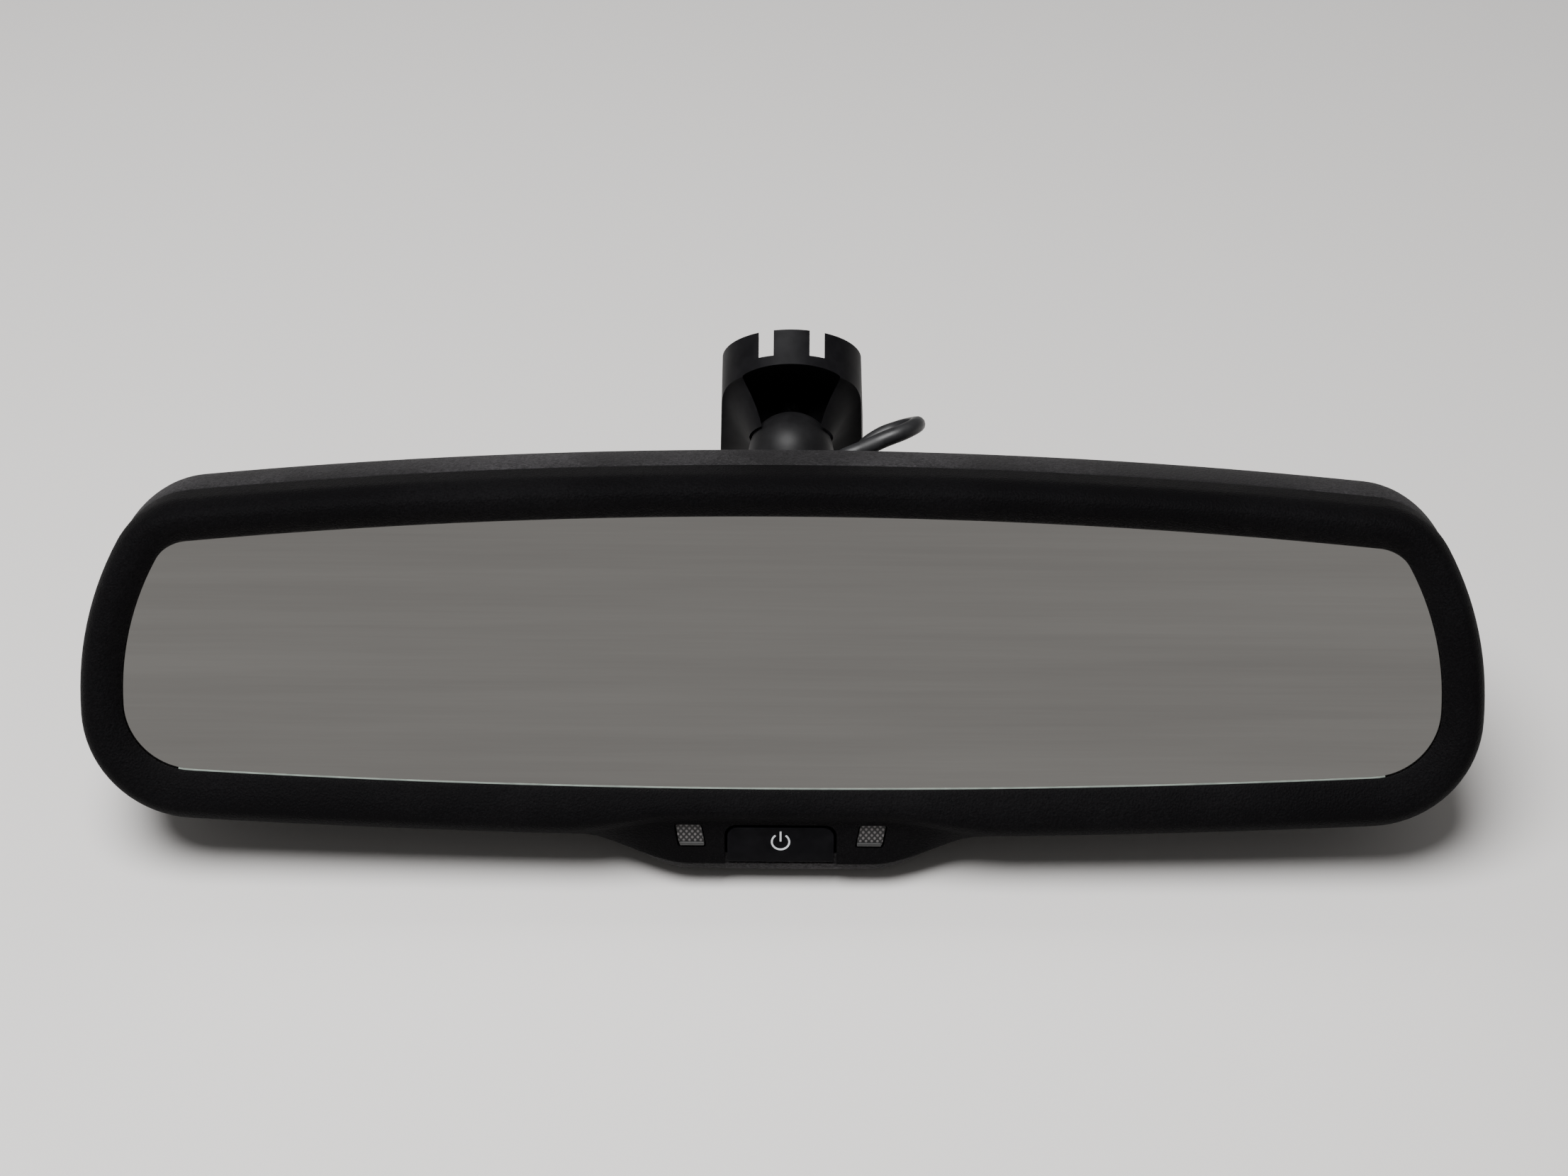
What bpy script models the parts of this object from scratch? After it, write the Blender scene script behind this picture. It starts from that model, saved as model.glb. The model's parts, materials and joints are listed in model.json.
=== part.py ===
"""Interior rearview mirror: a self-dimming mirror head, a two-ball arm and a windshield foot.

The head is modelled upright in its own frame: +X to the viewer's right, +Y from the glass
towards the windshield, +Z up the glass, origin at the middle of the visible glass. The foot
has a frame of its own at the upper ball. Two empties then stand the mirror on a table, leaning
back on its foot, with the origin under the middle of its box.
"""

import math

import bpy
import bmesh
from mathutils import Matrix, Vector

MM = 0.001
GAP = 0.3 * MM

# How the mirror stands.
HEAD_LEAN = math.radians(25.5)
CHIN_DROP = 44.1 * MM
FRONT_TO_MIDDLE = 45.75 * MM

# Visible glass, as arcs that meet in tangent fillets.
GLASS_TOP = 25.7 * MM
GLASS_BOTTOM = -26.4 * MM
TOP_RADIUS = 1106 * MM
BOTTOM_RADIUS = 2031 * MM
SIDE_CENTRE = Vector((66 * MM, -11 * MM))
SIDE_RADIUS = 55 * MM
TOP_CORNER = 8 * MM
BOTTOM_CORNER = 12.5 * MM
SINK = 0.1  # how far an outline drops for each unit that it grows; the lower half drops more
SINK_BELOW = 0.21

# Chin: a swelling of the lower edge that holds the button and the two windows.
CHIN_FLAT = 17 * MM
CHIN_END = 41 * MM

# Depths of the layers behind the glass face (Y).
PARTING = 9.0 * MM
PANE = 2.0 * MM
FRONT_PANE = GAP
SEAL = FRONT_PANE + PANE + GAP
SEAL_THICK = 0.4 * MM
REAR_PANE = SEAL + SEAL_THICK + GAP
FOAM = REAR_PANE + PANE + GAP
FOAM_THICK = 1.0 * MM
CARRIER = FOAM + FOAM_THICK + GAP
CARRIER_THICK = 2.0 * MM
CARRIER_BACK = CARRIER + CARRIER_THICK
BOARD = 12.5 * MM
BOARD_THICK = 1.6 * MM
PANE_GROW = 2.0 * MM
HOUSING_BACK = 33.5 * MM

# Button and windows in the chin.
BUTTON_HALF = 9.9 * MM
BUTTON_TOP = -33.5 * MM
BUTTON_CLEAR = 0.5 * MM
BUTTON_MIDDLE = -36.4 * MM
WINDOW_X = 16.8 * MM
WINDOW_MIDDLE = -35.3 * MM
WINDOW_HEIGHT = 4.0 * MM
WINDOW_WIDTH = 4.7 * MM
WINDOW_LEAN = 0.75 * MM

# Two-ball arm, in the head's frame.
LOWER_BALL = Vector((0, 34 * MM, 8 * MM))
UPPER_BALL = Vector((1.3 * MM, 60 * MM, 24.6 * MM))
ARM = UPPER_BALL - LOWER_BALL
ARM_LENGTH = ARM.length
BALL = 6.4 * MM
LINER_IN = BALL + 0.15 * MM
LINER_OUT = 7.15 * MM
CAVITY = 7.35 * MM
DOME = 8.65 * MM
WAIST = 6.6 * MM
BORE = 5.3 * MM
STEM = 2.8 * MM
MOUTH_ANGLE = math.radians(48)
LINER_ANGLE = math.radians(58)
WELL_IN = 12.5 * MM
WELL_OUT = 13.6 * MM

# Windshield foot, in its own frame: Y down the windshield, Z towards the glass, origin at the upper ball.
FOOT_TILT = math.radians(33.5)
FOOT_FRONT = 14.2 * MM
FOOT_FLANK = 15.3 * MM
FOOT_END = 50.1 * MM
FOOT_TOP = 21.2 * MM
FOOT_EDGE = 12.5 * MM
FOOT_BACK_EDGE = 5.0 * MM
MOUTH_RADIUS = 8.5 * MM
MOUTH_HEIGHT = 3.6 * MM
WEB_LOW = 13.9 * MM
WEB_TOP = 15.5 * MM
WALL = 2.0 * MM
NOTCH_X = 5.1 * MM
NOTCH_WIDTH = 3.0 * MM
NOTCH_DEPTH = 5.5 * MM
BASE_FRONT = 14.4 * MM
BASE_END = 48.0 * MM
BASE_HALF = 12.8 * MM
BASE_LOW = 7.6 * MM
BASE_TOP = 20.8 * MM
CHANNEL_HALF = 8.6 * MM
CHANNEL_UNDERCUT = 10.6 * MM
CHANNEL_FLOOR = 15.4 * MM
SET_SCREW_Y = 32 * MM

# Cable.
CABLE = 3.2 * MM
COIL_RADIUS = 17 * MM
COIL_THICK = 3.6 * MM
EXIT = Vector((6.4 * MM, 29.4 * MM, 25.4 * MM))
EXIT_WAY = Vector((0.42, 0.8, 0.38)).normalized()


# ---------------------------------------------------------------- helpers


def clear_scene():
    for obj in list(bpy.data.objects):
        bpy.data.objects.remove(obj)


def material(name, colour, roughness, metallic=0.0):
    mat = bpy.data.materials.new(name)
    mat.use_nodes = True
    shader = mat.node_tree.nodes["Principled BSDF"]
    shader.inputs["Base Color"].default_value = (*colour, 1)
    shader.inputs["Roughness"].default_value = roughness
    shader.inputs["Metallic"].default_value = metallic
    return mat


def add(name, mesh, mat, parent, matrix=None):
    """A named object for one sub-part, smooth but for its sharp edges."""
    if not mesh.materials:
        mesh.shade_smooth()
        mesh.set_sharp_from_angle(angle=math.radians(32))
        mesh.materials.append(mat)
    obj = bpy.data.objects.new(name, mesh)
    bpy.context.scene.collection.objects.link(obj)
    obj.parent = parent
    if matrix is not None:
        obj.matrix_local = matrix
    return obj


def add_copies(name, mesh, mat, parent, matrices):
    """One object for each of several identical pieces, all with the same mesh."""
    for k, matrix in enumerate(matrices, 1):
        add(f"{name}_{k}", mesh, mat, parent, matrix)


def mesh_of(points, faces):
    mesh = bpy.data.meshes.new("shape")
    mesh.from_pydata([tuple(p) for p in points], [], faces)
    mesh.validate()
    return mesh


def outward(mesh):
    """Faces made to point out, for a closed body made in any order."""
    body = bmesh.new()
    body.from_mesh(mesh)
    bmesh.ops.recalc_face_normals(body, faces=body.faces)
    body.to_mesh(mesh)
    body.free()
    return mesh


def loft(rings, ring_closed=True):
    """Skin over rings of equal count: a closed tube of rings, or a body capped at both ends."""
    count = len(rings[0])
    points = [p for ring in rings for p in ring]
    faces = []
    last = len(rings) if not ring_closed else len(rings) - 1
    for r in range(last):
        a = r * count
        b = (r + 1) % len(rings) * count
        faces += [(a + i, a + (i + 1) % count, b + (i + 1) % count, b + i) for i in range(count)]
    if ring_closed:
        faces.append(tuple(range(count)))
        faces.append(tuple((len(rings) - 1) * count + i for i in range(count)))
    return outward(mesh_of(points, faces))


def turned(profile, sides=32):
    """A body of revolution about Z from (radius, height) points, closed end to end or on the axis."""
    on_axis = profile[0][0] == 0 and profile[-1][0] == 0
    body = bmesh.new()
    verts = [body.verts.new((r, 0, z)) for r, z in profile]
    edges = [body.edges.new(pair) for pair in zip(verts, verts[1:])]
    if not on_axis:
        edges.append(body.edges.new((verts[-1], verts[0])))
    turn = {"cent": (0, 0, 0), "axis": (0, 0, 1), "angle": 2 * math.pi}
    bmesh.ops.spin(body, geom=verts + edges, steps=sides, use_merge=True, **turn)
    bmesh.ops.remove_doubles(body, verts=body.verts, dist=1e-6)
    bmesh.ops.recalc_face_normals(body, faces=body.faces)
    mesh = bpy.data.meshes.new("turned")
    body.to_mesh(mesh)
    body.free()
    return mesh


def rod(radius, low, high, sides=24):
    return turned([(0, low), (radius, low), (radius, high), (0, high)], sides)


def ring_section(inner, outer, low, high, sides=32):
    return turned([(inner, low), (outer, low), (outer, high), (inner, high)], sides)


def block(low, high):
    """A box from corner to corner."""
    size = Vector(high) - Vector(low)
    body = bmesh.new()
    bmesh.ops.create_cube(body, size=1.0)
    bmesh.ops.scale(body, vec=size, verts=body.verts)
    bmesh.ops.translate(body, vec=(Vector(high) + Vector(low)) / 2, verts=body.verts)
    mesh = bpy.data.meshes.new("block")
    body.to_mesh(mesh)
    body.free()
    return mesh


def rounded(width, height, radius, steps=5):
    """A rounded rectangle about the origin, as (x, z) points."""
    points = []
    for turn, (sx, sz) in enumerate(((1, 1), (-1, 1), (-1, -1), (1, -1))):
        for k in range(steps + 1):
            angle = math.pi / 2 * (turn + k / steps)
            x = sx * (width / 2 - radius) + radius * math.cos(angle)
            z = sz * (height / 2 - radius) + radius * math.sin(angle)
            points.append((x, z))
    return points


def plate(outline, front, back):
    """An outline in X and Z, given a thickness along Y."""
    return loft([[Vector((x, y, z)) for x, z in outline] for y in (front, back)])


def cut(obj, cutter_mesh, parent, operation="DIFFERENCE", matrix=None):
    """Cuts (or joins) obj by a hidden helper that has the same parent."""
    helper = bpy.data.objects.new(obj.name + "_cutter", cutter_mesh)
    bpy.context.scene.collection.objects.link(helper)
    helper.parent = parent
    if matrix is not None:
        helper.matrix_local = matrix
    helper.hide_render = True
    helper.display_type = "WIRE"
    modifier = obj.modifiers.new(operation.lower(), "BOOLEAN")
    modifier.operation = operation
    modifier.solver = "EXACT"
    modifier.object = helper
    return obj


def along(start, direction):
    """The matrix that lays a body turned about Z at start, with its +Z along direction."""
    turn = Vector((0, 0, 1)).rotation_difference(direction).to_matrix().to_4x4()
    return Matrix.Translation(start) @ turn


def at(x, y, z):
    return Matrix.Translation((x, y, z))


def facing_back(x, y, z):
    """Lays a body turned about Z with its +Z along the head's +Y."""
    return along(Vector((x, y, z)), Vector((0, 1, 0)))


def smoothstep(t):
    t = min(1.0, max(0.0, t))
    return t * t * (3 - 2 * t)


def mix(a, b, t):
    return a + (b - a) * t


def helix(radius, wire, low, high, turns, steps=14, sides=6):
    """A spring's wire about Z, as a closed tube."""
    count = int(turns * steps)
    rings = []
    for k in range(count + 1):
        angle = 2 * math.pi * k / steps
        centre = Vector((radius * math.cos(angle), radius * math.sin(angle), mix(low, high, k / count)))
        out = Vector((math.cos(angle), math.sin(angle), 0))
        rings.append(
            [
                centre + out * wire * math.cos(2 * math.pi * s / sides)
                + Vector((0, 0, wire * math.sin(2 * math.pi * s / sides)))
                for s in range(sides)
            ]
        )
    return loft(rings)


def tube(name, points, radius, resolution, mat, parent):
    """A cable along a smooth curve through hand-chosen points."""
    path = smooth_path([Vector(p) for p in points], 2.5 * radius * 2)
    curve = bpy.data.curves.new(name, "CURVE")
    curve.dimensions = "3D"
    curve.bevel_depth = radius
    curve.bevel_resolution = resolution
    curve.use_fill_caps = True
    spline = curve.splines.new("POLY")
    spline.points.add(len(path) - 1)
    for point, place in zip(spline.points, path):
        point.co = (*place, 1)
    curve.materials.append(mat)
    obj = bpy.data.objects.new(name, curve)
    bpy.context.scene.collection.objects.link(obj)
    obj.parent = parent
    return obj


def smooth_path(points, step):
    """Points about step apart along the Catmull-Rom curve through the given points."""
    ends = [2 * points[0] - points[1], *points, 2 * points[-1] - points[-2]]
    fine = [points[0]]
    for a, b, c, d in zip(ends, ends[1:], ends[2:], ends[3:]):
        pieces = max(1, round((c - b).length / step))
        for k in range(1, pieces + 1):
            t = k / pieces
            square = 2 * a - 5 * b + 4 * c - d
            cube = 3 * b - a - 3 * c + d
            fine.append(0.5 * (2 * b + (c - a) * t + square * t**2 + cube * t**3))
    return fine


# ---------------------------------------------------------------- head outline


def circles_meet(first, first_radius, second, second_radius):
    """The right-hand crossing of two circles."""
    between = second - first
    far = between.length
    reach = (first_radius**2 - second_radius**2 + far**2) / (2 * far)
    height = math.sqrt(first_radius**2 - reach**2)
    middle = first + between * reach / far
    across = Vector((-between.y, between.x)) * height / far
    return max((middle + across, middle - across), key=lambda p: p.x)


def angle_to(centre, point):
    return math.atan2(point.y - centre.y, point.x - centre.x)


def half_outline():
    """(point, outward normal) down the right half of the visible glass, top middle to bottom middle."""
    top_centre = Vector((0, GLASS_TOP - TOP_RADIUS))
    bottom_centre = Vector((0, GLASS_BOTTOM + BOTTOM_RADIUS))
    upper = circles_meet(top_centre, TOP_RADIUS - TOP_CORNER, SIDE_CENTRE, SIDE_RADIUS - TOP_CORNER)
    lower = circles_meet(
        SIDE_CENTRE, SIDE_RADIUS - BOTTOM_CORNER, bottom_centre, BOTTOM_RADIUS - BOTTOM_CORNER
    )
    turns = (
        math.pi / 2,
        angle_to(top_centre, upper),
        angle_to(SIDE_CENTRE, upper),
        angle_to(SIDE_CENTRE, lower),
        angle_to(bottom_centre, lower),
    )
    arcs = (
        (top_centre, TOP_RADIUS, turns[0], turns[1], 6),
        (upper, TOP_CORNER, turns[1], turns[2], 4),
        (SIDE_CENTRE, SIDE_RADIUS, turns[2], turns[3], 4),
        (lower, BOTTOM_CORNER, turns[3], turns[4], 5),
    )
    outline = []
    for centre, radius, start, end, steps in arcs:
        for k in range(steps):
            angle = mix(start, end, k / steps)
            normal = Vector((math.cos(angle), math.sin(angle)))
            outline.append((centre + normal * radius, normal))
    chin = [mix(CHIN_END, CHIN_FLAT, k / 6) for k in range(7)]
    for x in [lower.x, 74 * MM, *chin, 0.0]:
        normal = Vector((x / BOTTOM_RADIUS, -math.sqrt(1 - (x / BOTTOM_RADIUS) ** 2)))
        outline.append((bottom_centre + normal * BOTTOM_RADIUS, normal))
    return outline


def full_outline():
    right = half_outline()
    left = [(Vector((-p.x, p.y)), Vector((-n.x, n.y))) for p, n in right[-2:0:-1]]
    return right + left


OUTLINE = full_outline()


def chin_share(point):
    if point.y > GLASS_BOTTOM + 4 * MM:
        return 0.0
    return smoothstep((CHIN_END - abs(point.x)) / (CHIN_END - CHIN_FLAT))


def ring(grow, depth, chin_grow=None, chin_depth=None, shrink=0.0):
    """The outline grown by grow at depth; over the chin it takes the chin's own growth and depth."""
    chin_grow = grow if chin_grow is None else chin_grow
    chin_depth = depth if chin_depth is None else chin_depth
    points = []
    for point, normal in OUTLINE:
        share = chin_share(point)
        reach = mix(grow, chin_grow, share) * MM
        drop = mix(SINK, SINK_BELOW, smoothstep(-point.y / (15 * MM)))
        place = point + normal * reach - Vector((0, drop * reach))
        place = place * (1 - shrink)
        points.append(Vector((place.x, mix(depth, chin_depth, share) * MM, place.y)))
    return points


def flat_outline(grow):
    return [(p.x, p.z) for p in ring(grow / MM, 0)]


# ---------------------------------------------------------------- mirror head


def bezel(mats, head):
    # (growth, depth, growth over the chin, depth over the chin), from the lip round the bead to the inside.
    section = (
        (0.0, 0.0, 0.0, 0.0),
        (0.0, -0.6, 0.0, -0.6),
        (1.0, -1.6, 0.8, -1.6),
        (2.6, -2.6, 1.9, -2.5),
        (4.2, -3.0, 3.0, -2.8),
        (5.4, -2.9, 3.8, -2.4),
        (6.4, -2.1, 4.4, -1.5),
        (7.2, -0.7, 5.2, -0.6),
        (7.9, 1.6, 8.4, 0.1),
        (8.15, 4.5, 11.9, 0.85),
        (8.25, 8.8, 12.45, 2.2),
        (6.2, 8.8, 10.7, 2.7),
        (6.0, 2.8, 5.6, 1.8),
        (4.8, 1.2, 4.4, 1.0),
        (2.8, 0.0, 2.5, 0.0),
    )
    frame = add("bezel", loft([ring(*s) for s in section], ring_closed=False), mats["bezel"], head)
    for side in (-1, 1):
        cut(frame, window_shape(side, GAP, -3 * MM, 6 * MM), head)
    opening = rounded(2 * (BUTTON_HALF + BUTTON_CLEAR), 30 * MM, 2.2 * MM)
    middle = BUTTON_TOP + BUTTON_CLEAR - 15 * MM
    cut(frame, plate([(x, z + middle) for x, z in opening], -4 * MM, 12 * MM), head)
    return frame


def window_shape(side, clear, front, back):
    """The windows are four-sided, and their feet lean a little towards the button."""
    top = WINDOW_MIDDLE + WINDOW_HEIGHT / 2 + clear
    base = WINDOW_MIDDLE - WINDOW_HEIGHT / 2 - clear
    half = WINDOW_WIDTH / 2 + clear
    high, low = WINDOW_X + WINDOW_LEAN / 2, WINDOW_X - WINDOW_LEAN / 2
    corners = ((high + half, top), (high - half, top), (low - half, base), (low + half, base))
    return plate([(side * x, z) for x, z in corners], front, back)


def windows(mats, head):
    for side, name in ((-1, "indicator_lens"), (1, "glare_sensor_lens")):
        lens = add(name, window_shape(side, 0, 0.8 * MM, 4.8 * MM), mats["lens"], head)
        flange = block(
            (side * WINDOW_X - 3.2 * MM, 4.4 * MM, WINDOW_MIDDLE - 3.0 * MM),
            (side * WINDOW_X + 3.2 * MM, 5.6 * MM, WINDOW_MIDDLE + 3.0 * MM),
        )
        cut(lens, flange, head, "UNION")
        guide = rod(1.6 * MM, 5.2 * MM, 9.6 * MM, 12)
        cut(lens, guide, head, "UNION", facing_back(side * WINDOW_X, 0, WINDOW_MIDDLE))


def glass_stack(mats, head):
    pane = flat_outline(PANE_GROW)
    add("front_glass", plate(pane, FRONT_PANE, FRONT_PANE + PANE), mats["mirror"], head)
    add("rear_glass", plate(pane, REAR_PANE, REAR_PANE + PANE), mats["mirror"], head)
    seal_back = SEAL + SEAL_THICK
    section = ((0.2, SEAL), (1.8, SEAL), (1.8, seal_back), (0.2, seal_back))
    seal = [ring(g, y / MM) for g, y in section]
    add("perimeter_seal", loft(seal, ring_closed=False), mats["seal"], head)
    add("foam_tape", plate(flat_outline(-5 * MM), FOAM, FOAM + FOAM_THICK), mats["foam"], head)
    for name, sign in (("upper_bus_clip", 1), ("lower_bus_clip", -1)):
        add(name, bus_clip(sign), mats["spring_steel"], head)


def bus_clip(sign):
    """A thin angle strip that grips the rear pane along one long edge."""
    leg, skin, reach = 3.0 * MM, 0.4 * MM, 96 * MM
    front, back = SEAL, FOAM + GAP
    base = GLASS_TOP if sign > 0 else -GLASS_BOTTOM
    radius = TOP_RADIUS if sign > 0 else BOTTOM_RADIUS
    sink = SINK * PANE_GROW
    section = (
        (PANE_GROW + GAP, front),
        (PANE_GROW + GAP + skin, front),
        (PANE_GROW + GAP + skin, back),
        (PANE_GROW + GAP - leg, back),
        (PANE_GROW + GAP - leg, back - skin),
        (PANE_GROW + GAP, back - skin),
    )
    rings = []
    for k in range(9):
        x = mix(-reach, reach, k / 8)
        edge = base - x * x / (2 * radius)
        rings.append([Vector((x, y, sign * (edge + out) - sink)) for out, y in section])
    return loft(rings)


def carrier(mats, head):
    body = add("carrier_plate", plate(flat_outline(1.5 * MM), CARRIER, CARRIER_BACK), mats["plastic"], head)
    for x, z in BOARD_FIXINGS:
        post = ring_section(1.1 * MM, 2.6 * MM, CARRIER_BACK - 1 * MM, BOARD - GAP, 14)
        cut(body, post, head, "UNION", facing_back(x, 0, z))
    for x, z in CASE_FIXINGS:
        post = ring_section(1.5 * MM, 3.4 * MM, CARRIER_BACK - 1 * MM, 26 * MM, 16)
        cut(body, post, head, "UNION", facing_back(x, 0, z))
    for x, z in BRACKET_FIXINGS:
        cut(body, rod(1.5 * MM, 5 * MM, 12 * MM, 10), head, matrix=facing_back(x, 0, z))
    return body


BOARD_FIXINGS = tuple((x * MM, z * MM) for x, z in ((-48, -14), (48, -14), (-48, 15), (48, 15)))
CASE_FIXINGS = tuple((x * MM, -4 * MM) for x in (-74, 74))
BRACKET_FIXINGS = tuple((x * MM, z * MM) for x, z in ((-11.5, -9), (11.5, -9), (-11.5, 9), (11.5, 9)))


def board_outline():
    """A wide board with a tongue that runs down into the chin."""
    tongue, foot, half, low, high = 20.5, -38.9, 56, -20, 19
    corners = ((half, high), (half, low), (tongue, low), (tongue, foot))
    right = [Vector((x * MM, z * MM)) for x, z in corners]
    return [(p.x, p.y) for p in right] + [(-p.x, p.y) for p in reversed(right)]


def electronics(mats, head):
    board = add("circuit_board", plate(board_outline(), BOARD, BOARD + BOARD_THICK), mats["board"], head)
    cut(board, rod(17.5 * MM, BOARD - 2 * MM, BOARD + 4 * MM, 32), head, matrix=facing_back(0, 0, 0))
    for x, z in BOARD_FIXINGS:
        cut(board, rod(1.6 * MM, BOARD - 2 * MM, BOARD + 4 * MM, 12), head, matrix=facing_back(x, 0, z))
    back = BOARD + BOARD_THICK + GAP
    places = [facing_back(x, back, z) for x, z in BOARD_FIXINGS]
    screw = pan_screw(3.0 * MM, 1.6 * MM, 0.85 * MM, 5.0 * MM)
    add_copies("board_screw", screw, mats["screw"], head, places)

    chips = (("control_chip", -34, 6, 9, 9, 1.6), ("power_driver", 31, -9, 11, 7, 1.8))
    for name, x, z, w, h, t in chips:
        low = ((x - w / 2) * MM, back, (z - h / 2) * MM)
        high = ((x + w / 2) * MM, back + t * MM, (z + h / 2) * MM)
        add(name, block(low, high), mats["chip"], head)
    places = [facing_back(x, back, -6 * MM) for x in (-49 * MM, -24 * MM)]
    add_copies("capacitor", rod(3.1 * MM, 0, 7 * MM, 16), mats["chip"], head, places)

    front = BOARD - GAP
    lamp = block((-WINDOW_X - 1.6 * MM, front - 1.2 * MM, WINDOW_MIDDLE - 1.4 * MM),
                 (-WINDOW_X + 1.6 * MM, front, WINDOW_MIDDLE + 1.4 * MM))
    add("indicator_led", lamp, mats["led"], head)
    cell = block((WINDOW_X - 2.0 * MM, front - 1.4 * MM, WINDOW_MIDDLE - 2.0 * MM),
                 (WINDOW_X + 2.0 * MM, front, WINDOW_MIDDLE + 2.0 * MM))
    add("glare_sensor", cell, mats["chip"], head)
    sensor = block((AMBIENT_X - 2.2 * MM, back, AMBIENT_Z - 2.2 * MM),
                   (AMBIENT_X + 2.2 * MM, back + 2 * MM, AMBIENT_Z + 2.2 * MM))
    add("ambient_sensor", sensor, mats["chip"], head)

    low = (-2.8 * MM, front - 3.4 * MM, BUTTON_MIDDLE - 2.8 * MM)
    body = block(low, (2.8 * MM, front, BUTTON_MIDDLE + 2.8 * MM))
    switch = add("tact_switch", body, mats["chip"], head)
    recess = rod(1.9 * MM, front - 5 * MM, front - 1.5 * MM, 16)
    cut(switch, recess, head, matrix=facing_back(0, 0, BUTTON_MIDDLE))

    socket = block((22 * MM, back, 8 * MM), (36 * MM, back + 6 * MM, 14.5 * MM))
    add("board_socket", socket, mats["connector"], head)
    route = ((30, 20.9, 11), (30, 22.2, 11.6), (24, 23.2, 18), (12, 20.6, 22.6), (5, 20, 21.6))
    lead = [Vector((x * MM, y * MM, z * MM)) for x, y, z in route]
    lead += [EXIT - EXIT_WAY * d * MM for d in (9.0, 5.5, 3.0)]
    tube("inner_lead", lead, 1.1 * MM, 2, mats["cable"], head)


AMBIENT_X = -42 * MM
AMBIENT_Z = 4 * MM


def pan_screw(head_radius, head_height, shank, length, sides=12):
    """A pan-head screw about Z, its head's underside at 0 and its shank going to -Z."""
    return turned(
        [
            (0, -length),
            (shank * 0.7, -length),
            (shank, -length + 0.6 * MM),
            (shank, 0),
            (head_radius, 0),
            (head_radius, head_height * 0.55),
            (head_radius * 0.8, head_height),
            (0, head_height),
        ],
        sides,
    )


def button(mats, head):
    """The keycap: a side profile that follows the chin's face, drawn across, with round top corners."""
    profile = (
        (BUTTON_TOP, -0.5),
        (-36.5 * MM, 0.02),
        (-40.2 * MM, 0.7),
        (-40.7 * MM, 1.0),
        (-40.75 * MM, 1.9),
        (BUTTON_TOP, 2.0),
    )
    sides = [[Vector((x, y * MM, z)) for z, y in profile] for x in (-BUTTON_HALF, BUTTON_HALF)]
    cap = add("power_button", loft(sides), mats["button"], head)
    trim = [(x, z + BUTTON_TOP - 10 * MM) for x, z in rounded(2 * BUTTON_HALF, 20 * MM, 1.9 * MM)]
    cut(cap, plate(trim, -2 * MM, 12 * MM), head, "INTERSECT")
    cut(cap, rod(1.5 * MM, 1.5 * MM, 7.4 * MM, 16), head, "UNION", facing_back(0, 0, BUTTON_MIDDLE))
    for place in (-7 * MM, 7 * MM):
        low = (place - 0.6 * MM, 1.7 * MM, -38.5 * MM)
        rib = block(low, (place + 0.6 * MM, 5.5 * MM, BUTTON_TOP - 1 * MM))
        cut(cap, rib, head, "UNION")
    plunger = turned([(0, 0), (1.5 * MM, 0), (1.5 * MM, 2.2 * MM), (0, 2.2 * MM)], 16)
    add("switch_plunger", plunger, mats["connector"], head, facing_back(0, 7.7 * MM, BUTTON_MIDDLE))


def rear_housing(mats, head):
    outer = (
        (8.25, 9.2, 12.75, 2.65),
        (8.7, 12.5, 14.1, 4.5),
        (8.9, 17.5, 14.8, 9.5),
        (8.4, 21.8, 12.6, 15.0),
        (6.4, 25.6, 9.3, 21.5),
        (2.6, 28.8, 3.1, 27.0),
        (-3.0, 31.2, -3.0, 30.8),
    )
    inner = (
        (6.25, 9.2, 11.0, 3.15),
        (6.9, 16.0, 12.8, 9.5),
        (5.4, 22.6, 8.8, 18.0),
        (1.4, 26.9, 1.7, 25.0),
        (-3.6, 29.2, -3.6, 28.8),
    )
    # Past the corner radius the rings shrink towards the middle instead of growing inwards.
    crown = ((0.22, 32.5), (0.5, HOUSING_BACK / MM))
    outer_rings = [ring(*s) for s in outer] + [ring(-3.0, y, shrink=s) for s, y in crown]
    inner_rings = [ring(*s) for s in inner] + [ring(-3.6, y - 2.0, shrink=s) for s, y in crown]
    case = add("rear_housing", loft(inner_rings[::-1] + outer_rings), mats["housing"], head)
    well_hole = rod(WELL_OUT + GAP, 20 * MM, 40 * MM, 32)
    cut(case, well_hole, head, matrix=facing_back(0, 0, LOWER_BALL.z))
    cut(case, rod(2.9 * MM, -8 * MM, 6 * MM, 20), head, matrix=along(EXIT, EXIT_WAY))
    cut(case, rod(3.3 * MM, 22 * MM, 40 * MM, 20), head, matrix=facing_back(AMBIENT_X, 0, AMBIENT_Z))
    for x, z in CASE_FIXINGS:
        cut(case, rod(1.7 * MM, 22 * MM, 40 * MM, 14), head, matrix=facing_back(x, 0, z))
        cut(case, rod(3.4 * MM, 30.2 * MM, 40 * MM, 16), head, matrix=facing_back(x, 0, z))
    for k in range(4):
        for side in (-1, 1):
            x = side * (30 + 5 * k) * MM
            slot = [(x + dx, z - 13 * MM) for dx, z in rounded(1.8 * MM, 9 * MM, 0.6 * MM, 1)]
            cut(case, plate(slot, 24 * MM, 40 * MM), head)
    return case


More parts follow.
